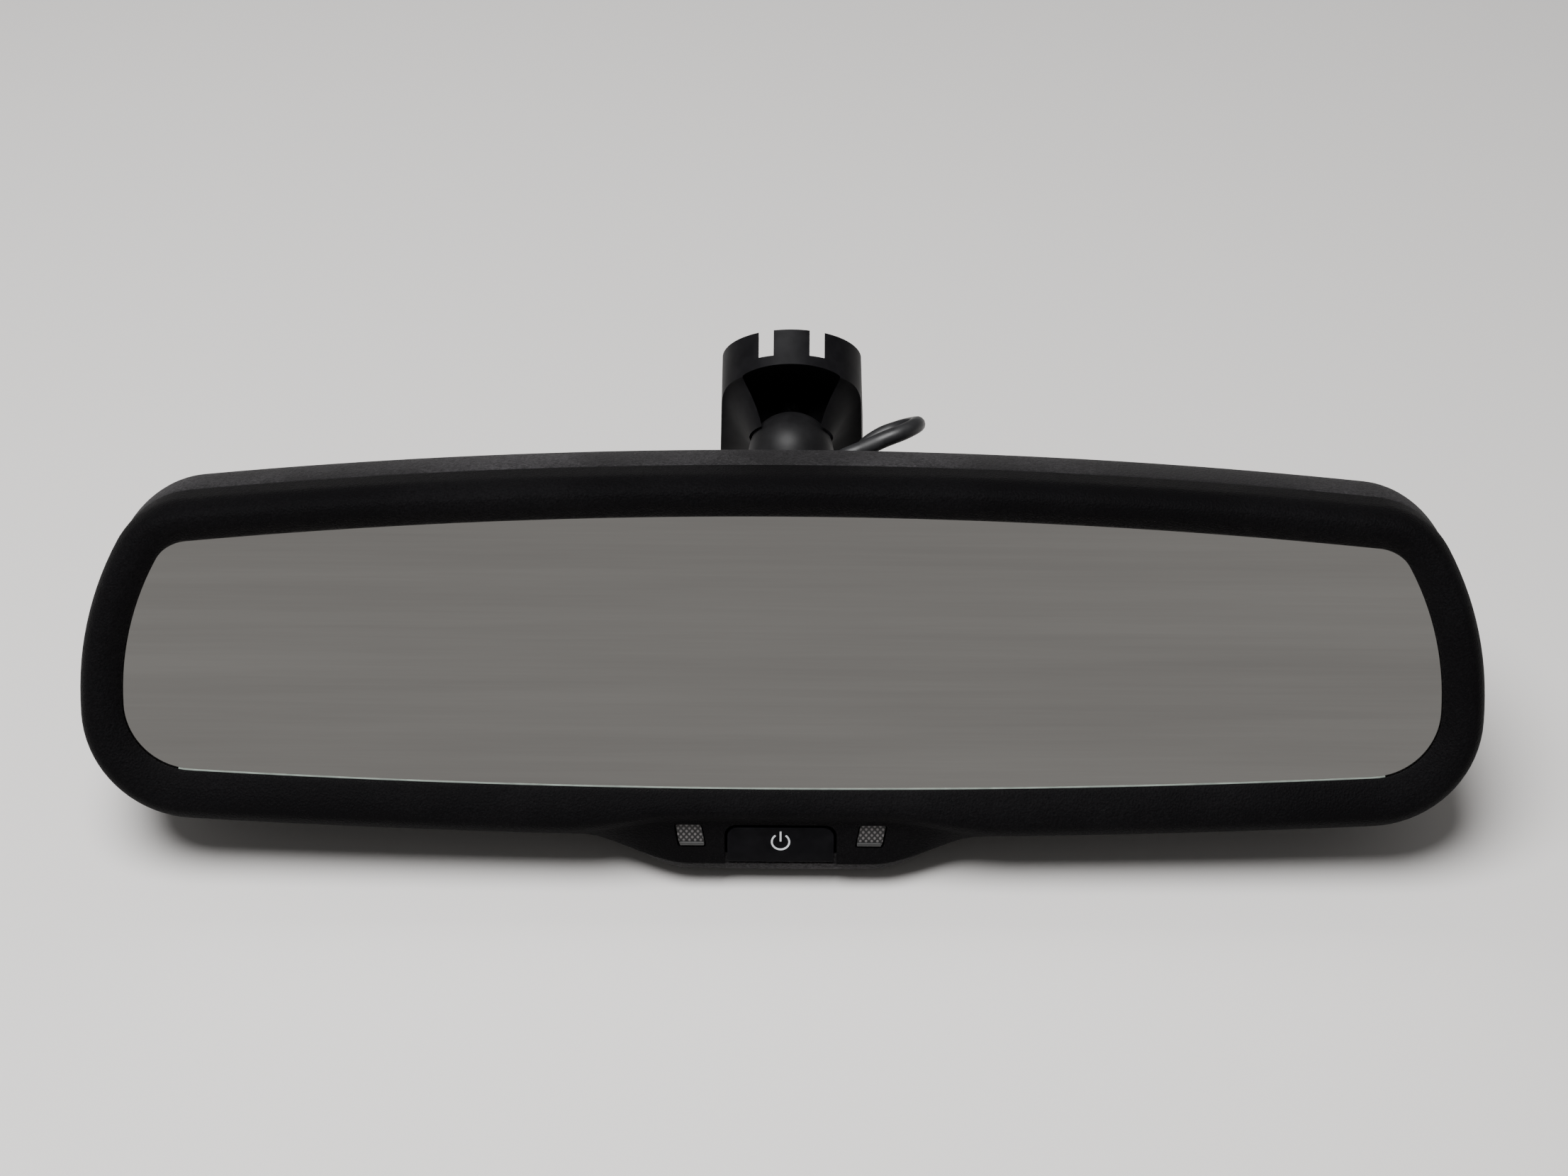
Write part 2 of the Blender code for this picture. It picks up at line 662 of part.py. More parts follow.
def case_details(mats, head):
    places = [facing_back(x, 30.5 * MM, z) for x, z in CASE_FIXINGS]
    add_copies("case_screw", pan_screw(2.9 * MM, 1.7 * MM, 1.2 * MM, 12 * MM), mats["screw"], head, places)
    lens = turned([(0, 0), (3.6 * MM, 0), (3.6 * MM, 1.0 * MM), (2.9 * MM, 1.0 * MM), (2.9 * MM, 3.9 * MM),
                   (2.2 * MM, 4.7 * MM), (0, 5.0 * MM)], 20)
    add("ambient_lens", lens, mats["lens"], head, facing_back(AMBIENT_X, 27.6 * MM, AMBIENT_Z))
    outside = [(15.6 * MM, 23.5 * MM), (17.0 * MM, 23.5 * MM), (WELL_OUT, 28.5 * MM), (WELL_OUT, 34.2 * MM)]
    inside = [(WELL_OUT - 0.4 * MM, 34.6 * MM), (WELL_IN, 34.0 * MM), (WELL_IN, 28.5 * MM)]
    well = turned(outside + inside, 32)
    socket = add("arm_well", well, mats["plastic"], head, facing_back(0, 0, LOWER_BALL.z))
    cut(socket, rod(4.2 * MM, -14 * MM, 0, 20), head, matrix=along(EXIT, EXIT_WAY))
    profile = ((2.3, -4.7), (3.7, -4.7), (3.7, -3.9), (2.6, -3.5), (2.6, 2.3), (3.2, 2.7), (3.2, 3.4),
               (2.3, 4.6), (1.9, 4.6), (1.9, -1.0))
    grommet = turned([(r * MM, z * MM) for r, z in profile], 16)
    add("cable_grommet", grommet, mats["rubber"], head, along(EXIT, EXIT_WAY))


def stud_bracket(mats, head):
    """The steel bracket on the carrier whose slanted boss holds the lower ball's stud."""
    base = rounded(30 * MM, 25 * MM, 4 * MM, 3)
    flat = plate(base, CARRIER_BACK + GAP, CARRIER_BACK + 2.2 * MM)
    body = add("stud_bracket", flat, mats["steel"], head)
    way = Vector((0, ARM.y, ARM.z)).normalized()
    foot = rounded(17 * MM, 20 * MM, 6 * MM, 4)
    crown = rounded(12 * MM, 12 * MM, 5.5 * MM, 4)
    place = LOWER_BALL - way * 15.5 * MM
    rings = [
        [Vector((x, CARRIER_BACK + 1 * MM, z - 1 * MM)) for x, z in foot],
        [Vector((x, place.y, z + place.z)) for x, z in crown],
    ]
    cut(body, loft(rings), head, "UNION")
    cut(body, rod(5.6 * MM, -6.5 * MM, 3.0 * MM, 20), head, "UNION", along(place, way))
    cut(body, rod(STEM + GAP, -6.0 * MM, 8 * MM, 16), head, matrix=along(place, way))
    for x, z in BRACKET_FIXINGS:
        cut(body, rod(1.7 * MM, 5 * MM, 14 * MM, 12), head, matrix=facing_back(x, 0, z))
    places = [facing_back(x, CARRIER_BACK + 2.2 * MM + GAP, z) for x, z in BRACKET_FIXINGS]
    screw = pan_screw(2.8 * MM, 1.5 * MM, 1.2 * MM, 3.4 * MM)
    add_copies("bracket_screw", screw, mats["screw"], head, places)


def ball_stud(length, sides=24):
    """A ball about the origin on a stem that goes to +Z."""
    neck = math.asin(STEM / BALL)
    arc = [(BALL * math.sin(a), BALL * math.cos(a)) for a in (mix(math.pi, neck, k / 9) for k in range(10))]
    arc[0] = (0, -BALL)
    return turned(arc + [(STEM, length), (0, length)], sides)


def liner(sides=24):
    """A thin nylon cup round a ball, open towards +Z."""
    steps = [mix(LINER_ANGLE, math.pi, k / 6) for k in range(7)]
    outside = [(LINER_OUT * math.sin(a), LINER_OUT * math.cos(a)) for a in steps]
    inside = [(LINER_IN * math.sin(a), LINER_IN * math.cos(a)) for a in steps]
    outside[-1] = (0, -LINER_OUT)
    inside[-1] = (0, -LINER_IN)
    return turned(inside[::-1] + outside, sides)


def arm_tube(mats, head):
    """A tube with a domed socket at each end: one half's profile, mirrored about its middle."""
    mouth = [mix(MOUTH_ANGLE, math.pi - math.asin(WAIST / DOME), k / 5) for k in range(6)]
    outside = [(DOME * math.sin(a), ARM_LENGTH / 2 + DOME * math.cos(a)) for a in mouth]
    socket = [mix(math.pi - math.asin(BORE / CAVITY), MOUTH_ANGLE, k / 5) for k in range(6)]
    inside = [(CAVITY * math.sin(a), ARM_LENGTH / 2 + CAVITY * math.cos(a)) for a in socket]
    upper = inside + outside
    lower = [(r, -z) for r, z in reversed(upper)]
    way = ARM.normalized()
    middle = (LOWER_BALL + UPPER_BALL) / 2
    add("arm_tube", turned(upper + lower, 28), mats["arm"], head, along(middle, way))
    spring_reach = ARM_LENGTH / 2 - LINER_OUT - 1.2 * MM
    spring = helix(3.7 * MM, 0.55 * MM, -spring_reach, spring_reach, 4, 10, 5)
    add("arm_spring", spring, mats["spring_steel"], head, along(middle, way))


def balls(mats, head):
    way = ARM.normalized()
    straight = Vector((0, way.y, way.z))
    add("lower_ball_stud", ball_stud(19.5 * MM), mats["oxide"], head, along(LOWER_BALL, -straight))
    add("lower_ball_liner", liner(), mats["nylon"], head, along(LOWER_BALL, -way))
    add("upper_ball_liner", liner(), mats["nylon"], head, along(UPPER_BALL, way))
    stud = add("upper_ball_stud", ball_stud(17.6 * MM), mats["oxide"], head, along(UPPER_BALL, straight))
    return stud


# ---------------------------------------------------------------- windshield foot


def foot_plan():
    """The foot seen square to the windshield: a round front, widening flanks, a round-cornered end."""
    corner = 8 * MM
    front = [math.pi * k / 24 for k in range(13)]
    right = [(FOOT_FRONT * math.sin(a), -FOOT_FRONT * math.cos(a)) for a in front]
    right += [(mix(FOOT_FRONT, FOOT_FLANK, t), t * 30 * MM) for t in (0.33, 0.66, 1.0)]
    ends = [math.pi / 2 * k / 5 for k in range(6)]
    turn = [(corner * math.cos(a), corner * math.sin(a)) for a in ends]
    right += [(FOOT_FLANK - corner + x, FOOT_END - corner + y) for x, y in turn]
    left = [(-x, y) for x, y in right[:0:-1]]
    return right + left


def edge_height(y):
    """The lower edge of the foot's side drops towards its end."""
    return mix(FOOT_EDGE, FOOT_BACK_EDGE, smoothstep((y + 8 * MM) / (24 * MM)))


def scoop(plan, share):
    """A ring on the hollowed underside, from the side's lower edge (0) to the dome's mouth (1)."""
    points = []
    for x, y in plan:
        toward = Vector((x, y)).normalized() * MOUTH_RADIUS
        edge = edge_height(y)
        height = mix(edge, MOUTH_HEIGHT, share**1.6)
        points.append(Vector((mix(x, toward.x, share), mix(y, toward.y, share), height)))
    return points


def inset(plan, amount):
    """The plan shrunk by a wall's thickness."""
    middle = 18 * MM
    return [
        (x * (1 - amount / FOOT_FRONT), middle + (y - middle) * (1 - amount / (FOOT_END - middle)))
        for x, y in plan
    ]


def goblet():
    """The dark opening over the dome: narrow at the dome, flaring up to a shallow arch."""
    low, high, narrow, wide, rise = -2.0, 12.6, 5.3, 9.8, 1.1
    side = []
    for k in range(8):
        t = k / 7
        side.append((mix(narrow, wide, t**2.1) * MM, mix(low, high, t) * MM))
    over = [math.pi * k / 12 for k in range(1, 12)]
    arch = [(wide * math.cos(a) * MM, (high + rise * math.sin(a)) * MM) for a in over]
    return side + arch + [(-x, z) for x, z in reversed(side)]


def foot_cover(mats, foot):
    plan = foot_plan()
    outer = [[Vector((x, y, FOOT_TOP)) for x, y in plan]]
    outer += [scoop(plan, s) for s in (0, 0.2, 0.4, 0.6, 0.8, 1.0)]
    pocket = [[Vector((*(Vector((x, y)).normalized() * MOUTH_RADIUS), WEB_LOW)) for x, y in plan]]
    cover = add("foot_cover", loft(outer + pocket), mats["foot"], foot)
    recess = [
        [Vector((x, y, z)) for x, y in inset(plan, WALL)] for z in (WEB_TOP, FOOT_TOP + 2 * MM)
    ]
    cut(cover, loft(recess), foot)
    hollow = rounded(2 * (BASE_HALF + GAP), BASE_END - BASE_FRONT + 2 * GAP, 6.4 * MM)
    middle = (BASE_END + BASE_FRONT) / 2
    rings = [[Vector((x, y + middle, z)) for x, y in hollow] for z in (BASE_LOW - GAP, FOOT_TOP + 2 * MM)]
    cut(cover, loft(rings), foot)
    slot = [[Vector((x, y, z)) for x, z in goblet()] for y in (-20 * MM, 0)]
    cut(cover, loft(slot), foot)
    low = (-CHANNEL_UNDERCUT, BASE_END - 4 * MM, CHANNEL_FLOOR)
    way_in = block(low, (CHANNEL_UNDERCUT, 60 * MM, 30 * MM))
    cut(cover, way_in, foot)
    for side in (-1, 1):
        notch = block((side * NOTCH_X - NOTCH_WIDTH / 2, -20 * MM, FOOT_TOP - NOTCH_DEPTH),
                      (side * NOTCH_X + NOTCH_WIDTH / 2, -6 * MM, FOOT_TOP + 2 * MM))
        cut(cover, notch, foot)
    cut(cover, rod(STEM + 1.2 * MM, 9 * MM, 20 * MM, 20), foot, matrix=foot_stem())
    cut(cover, rod(3.4 * MM, -5 * MM, 12 * MM, 20), foot, matrix=at(0, SET_SCREW_Y, 0))
    for x, y in FOOT_FIXINGS:
        cut(cover, rod(1.6 * MM, -5 * MM, 12 * MM, 14), foot, matrix=at(x, y, 0))
        cut(cover, rod(3.3 * MM, -5 * MM, 5.8 * MM, 18), foot, matrix=at(x, y, 0))
    return cover


FOOT_FIXINGS = ((-8.5 * MM, 43 * MM), (8.5 * MM, 43 * MM))


def foot_stem():
    """The upper ball's stem, seen in the foot's frame."""
    way = ARM.normalized()
    slope = math.atan2(way.z, way.y) + FOOT_TILT
    return along(Vector((0, 0, 0)), Vector((0, math.cos(slope), math.sin(slope))))


def foot_base(mats, foot):
    """The metal base: a dovetail channel for the windshield button and a tongue for the ball stud."""
    outline = rounded(2 * BASE_HALF, BASE_END - BASE_FRONT, 6.0 * MM)
    middle = (BASE_END + BASE_FRONT) / 2
    rings = [[Vector((x, y + middle, z)) for x, y in outline] for z in (BASE_LOW, BASE_TOP)]
    base = add("foot_base", loft(rings), mats["zinc"], foot)
    low = (-7.5 * MM, 2.5 * MM, WEB_TOP + GAP)
    tongue = block(low, (7.5 * MM, BASE_FRONT + 3 * MM, BASE_TOP - 1.2 * MM))
    cut(base, tongue, foot, "UNION")
    lip = BASE_TOP - 1.8 * MM
    profile = (
        (-CHANNEL_UNDERCUT, CHANNEL_FLOOR),
        (CHANNEL_UNDERCUT, CHANNEL_FLOOR),
        (CHANNEL_UNDERCUT, lip),
        (CHANNEL_HALF, BASE_TOP + 0.2 * MM),
        (CHANNEL_HALF, BASE_TOP + 3 * MM),
        (-CHANNEL_HALF, BASE_TOP + 3 * MM),
        (-CHANNEL_HALF, BASE_TOP + 0.2 * MM),
        (-CHANNEL_UNDERCUT, lip),
    )
    start, stop = BASE_FRONT + 6 * MM, BASE_END + 5 * MM
    channel = [[Vector((x, y, z)) for x, z in profile] for y in (start, stop)]
    cut(base, loft(channel), foot)
    cut(base, rod(STEM + 0.15 * MM, 4 * MM, 17.9 * MM, 24), foot, matrix=foot_stem())
    cut(base, rod(2.6 * MM, 4 * MM, 18 * MM, 18), foot, matrix=at(0, SET_SCREW_Y, 0))
    for x, y in FOOT_FIXINGS:
        cut(base, rod(1.4 * MM, 4 * MM, 13 * MM, 12), foot, matrix=at(x, y, 0))
    return base


def foot_fasteners(mats, foot):
    screw = turned([(0, 5.6 * MM), (1.3 * MM, 5.6 * MM), (1.3 * MM, 8.0 * MM), (0, 8.0 * MM)], 6)
    profile = ((0, 5.4), (2.1, 5.4), (2.4, 5.8), (2.4, 14.6), (1.2, 15.8), (0, 15.8))
    body = turned([(r * MM, z * MM) for r, z in profile], 20)
    setter = add("set_screw", body, mats["screw"], foot, at(0, SET_SCREW_Y, 0))
    cut(setter, screw, foot, matrix=at(0, SET_SCREW_Y, -0.6 * MM))
    places = [at(x, y, 5.5 * MM) @ Matrix.Rotation(math.pi, 4, "X") for x, y in FOOT_FIXINGS]
    add_copies("foot_screw", pan_screw(2.7 * MM, 1.3 * MM, 1.1 * MM, 6 * MM), mats["screw"], foot, places)


# ---------------------------------------------------------------- cable


def cable(mats, head, table):
    """The lead leaves the grommet, loops beside the foot, drops behind the head and runs to a coil."""
    way = head.matrix_world
    loop = ((9.7, 34.8, 28.1), (11.6, 35.9, 29.15), (13.9, 36.2, 30.1), (16.6, 36.0, 31.3),
            (19.4, 36.0, 32.6), (23.2, 37.2, 33.9), (25.6, 40.6, 34.5), (25.4, 44.8, 33.8),
            (22.4, 47.9, 32.4), (18.6, 48.0, 30.8), (15.2, 46.4, 28.2), (13.6, 44.6, 24.2),
            (14.2, 43.4, 19.6), (17.4, 43.2, 15.2), (21.8, 43.8, 11.6))
    in_head = [way @ (EXIT + EXIT_WAY * 4.9 * MM)]
    in_head += [way @ Vector((x * MM, y * MM, z * MM)) for x, y, z in loop]
    on_table = ((25.8, 2.6, 29.6), (30, 9.3, 21.5), (35, 16, 12.8), (41.5, 23.5, 5.8), (50, 30.5, 2.9),
                (63.5, 34.6, 2.5))
    run = in_head + [Vector((x * MM, y * MM, z * MM)) for x, y, z in on_table]
    tube("cable_run", run, CABLE / 2, 2, mats["cable"], table)
    low, high, inner, outer = 0.8 * MM, 7.3 * MM, COIL_RADIUS - COIL_THICK, COIL_RADIUS + COIL_THICK
    add("cable_coil", ring_section(inner, outer, low, high, 32), mats["cable"], table, at(*COIL_CENTRE))
    x, y, _ = COIL_CENTRE
    tail = [Vector((x + reach * MM, y + 18.5 * MM, 3.8 * MM)) for reach in (12.5, 19.7)]
    tube("cable_tail", tail, CABLE / 2, 2, mats["cable"], table)
    band, gap, wide = 0.5 * MM, GAP, 2.4 * MM
    tie_low = (inner - gap - band, -wide, low - gap - 0.4 * MM)
    tie = block(tie_low, (outer + gap + band, wide, high + gap + band))
    strap = add("cable_tie", tie, mats["tie"], table, at(*COIL_CENTRE))
    room = block((inner - gap, -2 * wide, low - gap), (outer + gap, 2 * wide, high + gap))
    cut(strap, room, table, matrix=at(*COIL_CENTRE))
    plug_place = at(x + 20 * MM, y + 18.5 * MM, 0)
    shell = block((0, -5.5 * MM, 0.1 * MM), (15 * MM, 5.5 * MM, 8.6 * MM))
    plug = add("harness_plug", shell, mats["connector"], table, plug_place)
    cut(plug, block((7 * MM, -4.2 * MM, 1.5 * MM), (17 * MM, 4.2 * MM, 7.2 * MM)), table, matrix=plug_place)
    latch = block((2 * MM, -1.8 * MM, 8 * MM), (13 * MM, 1.8 * MM, 9.8 * MM))
    cut(plug, latch, table, "UNION", plug_place)


COIL_CENTRE = (76 * MM, 16 * MM, 0)


# ---------------------------------------------------------------- assembly


def materials():
    return {
        "bezel": material("bezel_black", (0.012, 0.012, 0.013), 0.48),
        "housing": material("housing_black", (0.02, 0.02, 0.021), 0.6),
        "plastic": material("inner_plastic", (0.02, 0.02, 0.02), 0.55),
        "button": material("button_black", (0.01, 0.01, 0.011), 0.4),
        "lens": material("smoked_lens", (0.22, 0.21, 0.2), 0.3),
        "mirror": material("mirror_glass", (0.45, 0.45, 0.44), 0.05, 1.0),
        "seal": material("epoxy_seal", (0.03, 0.03, 0.03), 0.5),
        "foam": material("foam_tape", (0.1, 0.1, 0.1), 0.9),
        "spring_steel": material("spring_steel", (0.55, 0.53, 0.5), 0.3, 1.0),
        "board": material("board_green", (0.02, 0.12, 0.05), 0.5),
        "chip": material("chip_black", (0.02, 0.02, 0.02), 0.4),
        "led": material("led_white", (0.8, 0.8, 0.75), 0.4),
        "connector": material("connector_grey", (0.3, 0.3, 0.3), 0.5),
        "tie": material("tie_black", (0.02, 0.02, 0.02), 0.5),
        "rubber": material("rubber_black", (0.015, 0.015, 0.015), 0.7),
        "cable": material("cable_black", (0.014, 0.014, 0.014), 0.45),
        "steel": material("plated_steel", (0.5, 0.49, 0.47), 0.3, 1.0),
        "oxide": material("black_oxide", (0.03, 0.03, 0.032), 0.4, 1.0),
        "screw": material("screw_zinc", (0.55, 0.54, 0.5), 0.3, 1.0),
        "arm": material("arm_black", (0.02, 0.02, 0.021), 0.42),
        "nylon": material("nylon_natural", (0.7, 0.68, 0.6), 0.5),
        "foot": material("foot_black", (0.013, 0.013, 0.014), 0.42),
        "zinc": material("cast_zinc", (0.35, 0.35, 0.36), 0.4, 1.0),
    }


def frames():
    """The table's frame, the leaning head's frame in it, and the foot's frame at the upper ball."""
    table = bpy.data.objects.new("table_frame", None)
    head = bpy.data.objects.new("head_frame", None)
    foot = bpy.data.objects.new("foot_frame", None)
    for empty in (table, head, foot):
        bpy.context.scene.collection.objects.link(empty)
    head.parent = table
    head.rotation_euler = (-HEAD_LEAN, 0, 0)
    head.location = (0, -FRONT_TO_MIDDLE, CHIN_DROP)
    foot.parent = head
    foot.rotation_euler = (-FOOT_TILT, 0, 0)
    foot.location = UPPER_BALL
    bpy.context.view_layer.update()
    return table, head, foot


def build():
    clear_scene()
    mats = materials()
    table, head, foot = frames()
    bezel(mats, head)
    windows(mats, head)
    glass_stack(mats, head)
    carrier(mats, head)
    electronics(mats, head)
    button(mats, head)
    rear_housing(mats, head)
    case_details(mats, head)
    stud_bracket(mats, head)
    arm_tube(mats, head)
    balls(mats, head)
    foot_cover(mats, foot)
    foot_base(mats, foot)
    foot_fasteners(mats, foot)
    cable(mats, head, table)


build()
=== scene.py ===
"""Looks of the interior rearview mirror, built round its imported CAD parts.

Mesh and material helpers come first, then the head, the foot, the cable and the studio.
Lengths are in metres, in the CAD's frame.
"""

import json
import math

import bpy
import bmesh
from mathutils import Matrix, Vector


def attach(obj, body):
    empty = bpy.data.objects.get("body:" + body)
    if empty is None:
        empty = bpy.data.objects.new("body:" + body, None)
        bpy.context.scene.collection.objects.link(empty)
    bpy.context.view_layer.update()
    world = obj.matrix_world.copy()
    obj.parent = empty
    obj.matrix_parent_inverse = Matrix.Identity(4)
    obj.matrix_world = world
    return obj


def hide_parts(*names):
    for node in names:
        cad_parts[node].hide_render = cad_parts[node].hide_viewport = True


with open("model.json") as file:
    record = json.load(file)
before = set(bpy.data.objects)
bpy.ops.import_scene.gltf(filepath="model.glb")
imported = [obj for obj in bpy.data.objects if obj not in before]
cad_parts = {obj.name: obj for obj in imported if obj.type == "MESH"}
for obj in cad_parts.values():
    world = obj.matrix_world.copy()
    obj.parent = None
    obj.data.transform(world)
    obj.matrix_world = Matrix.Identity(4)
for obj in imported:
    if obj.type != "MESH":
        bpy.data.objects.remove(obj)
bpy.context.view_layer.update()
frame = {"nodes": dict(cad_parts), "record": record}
MM = 0.001

# The head's own frame, as in the CAD: +Y from the glass back, +Z up the glass, leaning back.
HEAD_LEAN = math.radians(25.5)
CHIN_DROP = 44.1 * MM
FRONT_TO_MIDDLE = 45.75 * MM
UPPER_BALL = Vector((1.3 * MM, 60 * MM, 24.6 * MM))
LOWER_BALL = Vector((0, 34 * MM, 8 * MM))
FOOT_TILT = math.radians(33.5)
HEAD = Matrix.Translation((0, -FRONT_TO_MIDDLE, CHIN_DROP)) @ Matrix.Rotation(-HEAD_LEAN, 4, "X")
FOOT = HEAD @ Matrix.Translation(UPPER_BALL) @ Matrix.Rotation(-FOOT_TILT, 4, "X")
WORLD = Matrix.Identity(4)

GLASS_TOP = 25.7 * MM
GLASS_BOTTOM = -26.4 * MM
TOP_RADIUS = 1106 * MM
BOTTOM_RADIUS = 2031 * MM
SIDE_CENTRE = Vector((66 * MM, -11 * MM))
SIDE_RADIUS = 55 * MM
TOP_CORNER = 8 * MM
BOTTOM_CORNER = 12.5 * MM
SINK = 0.1
SINK_BELOW = 0.21
CHIN_FLAT = 17 * MM
CHIN_END = 41 * MM
BUTTON_HALF = 9.9 * MM
BUTTON_TOP = -33.5 * MM
BUTTON_MIDDLE = -36.4 * MM
WINDOW_X = 16.8 * MM
WINDOW_MIDDLE = -35.3 * MM
WINDOW_HEIGHT = 4.0 * MM
WINDOW_WIDTH = 4.7 * MM
WINDOW_LEAN = 0.75 * MM
CABLE = 3.2 * MM
EXIT = Vector((6.4 * MM, 29.4 * MM, 25.4 * MM))
EXIT_WAY = Vector((0.42, 0.8, 0.38)).normalized()
COIL_CENTRE = Vector((76 * MM, 16 * MM, 0))
CASE_SCREW = Vector((74 * MM, -4 * MM))
AMBIENT_LENS = Vector((-42 * MM, 4 * MM))
FOOT_FRONT = 14.2 * MM
FOOT_FLANK = 15.3 * MM
FOOT_END = 50.1 * MM
FOOT_TOP = 21.2 * MM
SHARP = math.radians(35)

CAMERA_PLACE = (0.0035, -0.3939, 0.3517)
CAMERA_TILT = math.radians(50)
CAMERA_TURN = math.radians(0.5)
CAMERA_ROLL = math.radians(0.05)
CAMERA_LENS = 58.6
SKY_STRENGTH = 0.19
KEY_PLACE = (-0.2, -0.25, 0.95)
KEY_TARGET = (-0.05, -0.3, 0)
KEY_SIZE = 0.6
KEY_POWER = 18.5
FLOOR_HALF = 3


# ---------------------------------------------------------------- mesh helpers


def mix(a, b, t):
    return a + (b - a) * t


def smoothstep(t):
    t = min(1.0, max(0.0, t))
    return t * t * (3 - 2 * t)


def mesh_of(points, faces):
    mesh = bpy.data.meshes.new("shape")
    mesh.from_pydata([tuple(p) for p in points], [], faces)
    body = bmesh.new()
    body.from_mesh(mesh)
    bmesh.ops.recalc_face_normals(body, faces=body.faces)
    body.to_mesh(mesh)
    body.free()
    return mesh


def loft(rings, capped=True):
    count = len(rings[0])
    points = [p for ring in rings for p in ring]
    faces = []
    for r in range(len(rings) - 1 if capped else len(rings)):
        a = r * count
        b = (r + 1) % len(rings) * count
        faces += [(a + i, a + (i + 1) % count, b + (i + 1) % count, b + i) for i in range(count)]
    if capped:
        faces.append(tuple(range(count)))
        faces.append(tuple((len(rings) - 1) * count + i for i in range(count)))
    return mesh_of(points, faces)


def turned(profile, sides=64):
    on_axis = profile[0][0] == 0 and profile[-1][0] == 0
    body = bmesh.new()
    verts = [body.verts.new((r, 0, z)) for r, z in profile]
    edges = [body.edges.new(pair) for pair in zip(verts, verts[1:])]
    if not on_axis:
        edges.append(body.edges.new((verts[-1], verts[0])))
    turn = {"cent": (0, 0, 0), "axis": (0, 0, 1), "angle": 2 * math.pi}
    bmesh.ops.spin(body, geom=verts + edges, steps=sides, use_merge=True, **turn)
    bmesh.ops.remove_doubles(body, verts=body.verts, dist=1e-7)
    bmesh.ops.recalc_face_normals(body, faces=body.faces)
    mesh = bpy.data.meshes.new("turned")
    body.to_mesh(mesh)
    body.free()
    return mesh


def turned_mm(profile, sides):
    """A turned shape whose profile is given in millimetres."""
    return turned([(r * MM, z * MM) for r, z in profile], sides)


def rod(radius, low, high, sides=48):
    return turned([(0, low), (radius, low), (radius, high), (0, high)], sides)


def upright(outline, low, high):
    """An outline drawn in X and Y, raised from low to high."""
    return loft([[Vector((x, y, z)) for x, y in outline] for z in (low, high)])


def block(low, high):
    low, high = Vector(low), Vector(high)
    corners = [(low.x, low.y), (high.x, low.y), (high.x, high.y), (low.x, high.y)]
    return upright(corners, low.z, high.z)


def rounded(width, height, radius, steps=8):
    points = []
    for turn, (sx, sz) in enumerate(((1, 1), (-1, 1), (-1, -1), (1, -1))):
        for k in range(steps + 1):
            angle = math.pi / 2 * (turn + k / steps)
            x = sx * (width / 2 - radius) + radius * math.cos(angle)
            z = sz * (height / 2 - radius) + radius * math.sin(angle)
            points.append((x, z))
    return points


def plate(outline, front, back):
    return loft([[Vector((x, y, z)) for x, z in outline] for y in (front, back)])


def along(start, direction):
    turn = Vector((0, 0, 1)).rotation_difference(direction).to_matrix().to_4x4()
    return Matrix.Translation(start) @ turn


def facing_back(x, y, z):
    return along(Vector((x, y, z)), Vector((0, 1, 0)))


def piece(name, mesh, mat, body, place=WORLD, replaces=()):
    """A shown piece on a CAD body, with the CAD nodes that it stands for."""
    mesh.transform(place)
    mesh.shade_smooth()
    mesh.set_sharp_from_angle(angle=SHARP)
    mesh.materials.append(mat)
    obj = bpy.data.objects.new(name, mesh)
    bpy.context.scene.collection.objects.link(obj)
    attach(obj, body)
    if replaces:
        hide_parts(*replaces)
    return obj


def cut(obj, cutter, place, operation="DIFFERENCE"):
    """A Boolean that is applied at once, so that no helper stays."""
    cutter.transform(place)
    helper = bpy.data.objects.new("helper", cutter)
    bpy.context.scene.collection.objects.link(helper)
    modifier = obj.modifiers.new("cut", "BOOLEAN")
    modifier.operation = operation
    modifier.solver = "EXACT"
    modifier.object = helper
    apply_modifiers(obj)
    bpy.data.objects.remove(helper)


def apply_modifiers(obj):
    graph = bpy.context.evaluated_depsgraph_get()
    mesh = bpy.data.meshes.new_from_object(obj.evaluated_get(graph))
    obj.modifiers.clear()
    old = obj.data
    obj.data = mesh
    bpy.data.meshes.remove(old)
    mesh.shade_smooth()
    mesh.set_sharp_from_angle(angle=SHARP)


def soften(obj, width, segments=2, angle=50):
    """Rounds the sharp edges a little, as moulded edges are."""
    bevel = obj.modifiers.new("soft_edges", "BEVEL")
    bevel.width = width
    bevel.segments = segments
    bevel.limit_method = "ANGLE"
    bevel.angle_limit = math.radians(angle)
    bevel.harden_normals = True


def between(p, q, r, s, t):
    """The Catmull-Rom value from q to r at t."""
    square = 2 * p - 5 * q + 4 * r - s
    cube = 3 * q - p - 3 * r + s
    return 0.5 * (2 * q + (r - p) * t + square * t**2 + cube * t**3)


def spline(points, per, closed):
    """Points on the Catmull-Rom curve through tuples of any length."""
    count = len(points)
    out = []
    for i in range(count if closed else count - 1):
        if closed:
            a, b, c, d = (points[(i + k) % count] for k in (-1, 0, 1, 2))
        else:
            a, b, c, d = (points[min(count - 1, max(0, i + k))] for k in (-1, 0, 1, 2))
        for k in range(per):
            t = k / per
            out.append(tuple(between(p, q, r, s, t) for p, q, r, s in zip(a, b, c, d)))
    if not closed:
        out.append(tuple(points[-1]))
    return out


# ---------------------------------------------------------------- material helpers


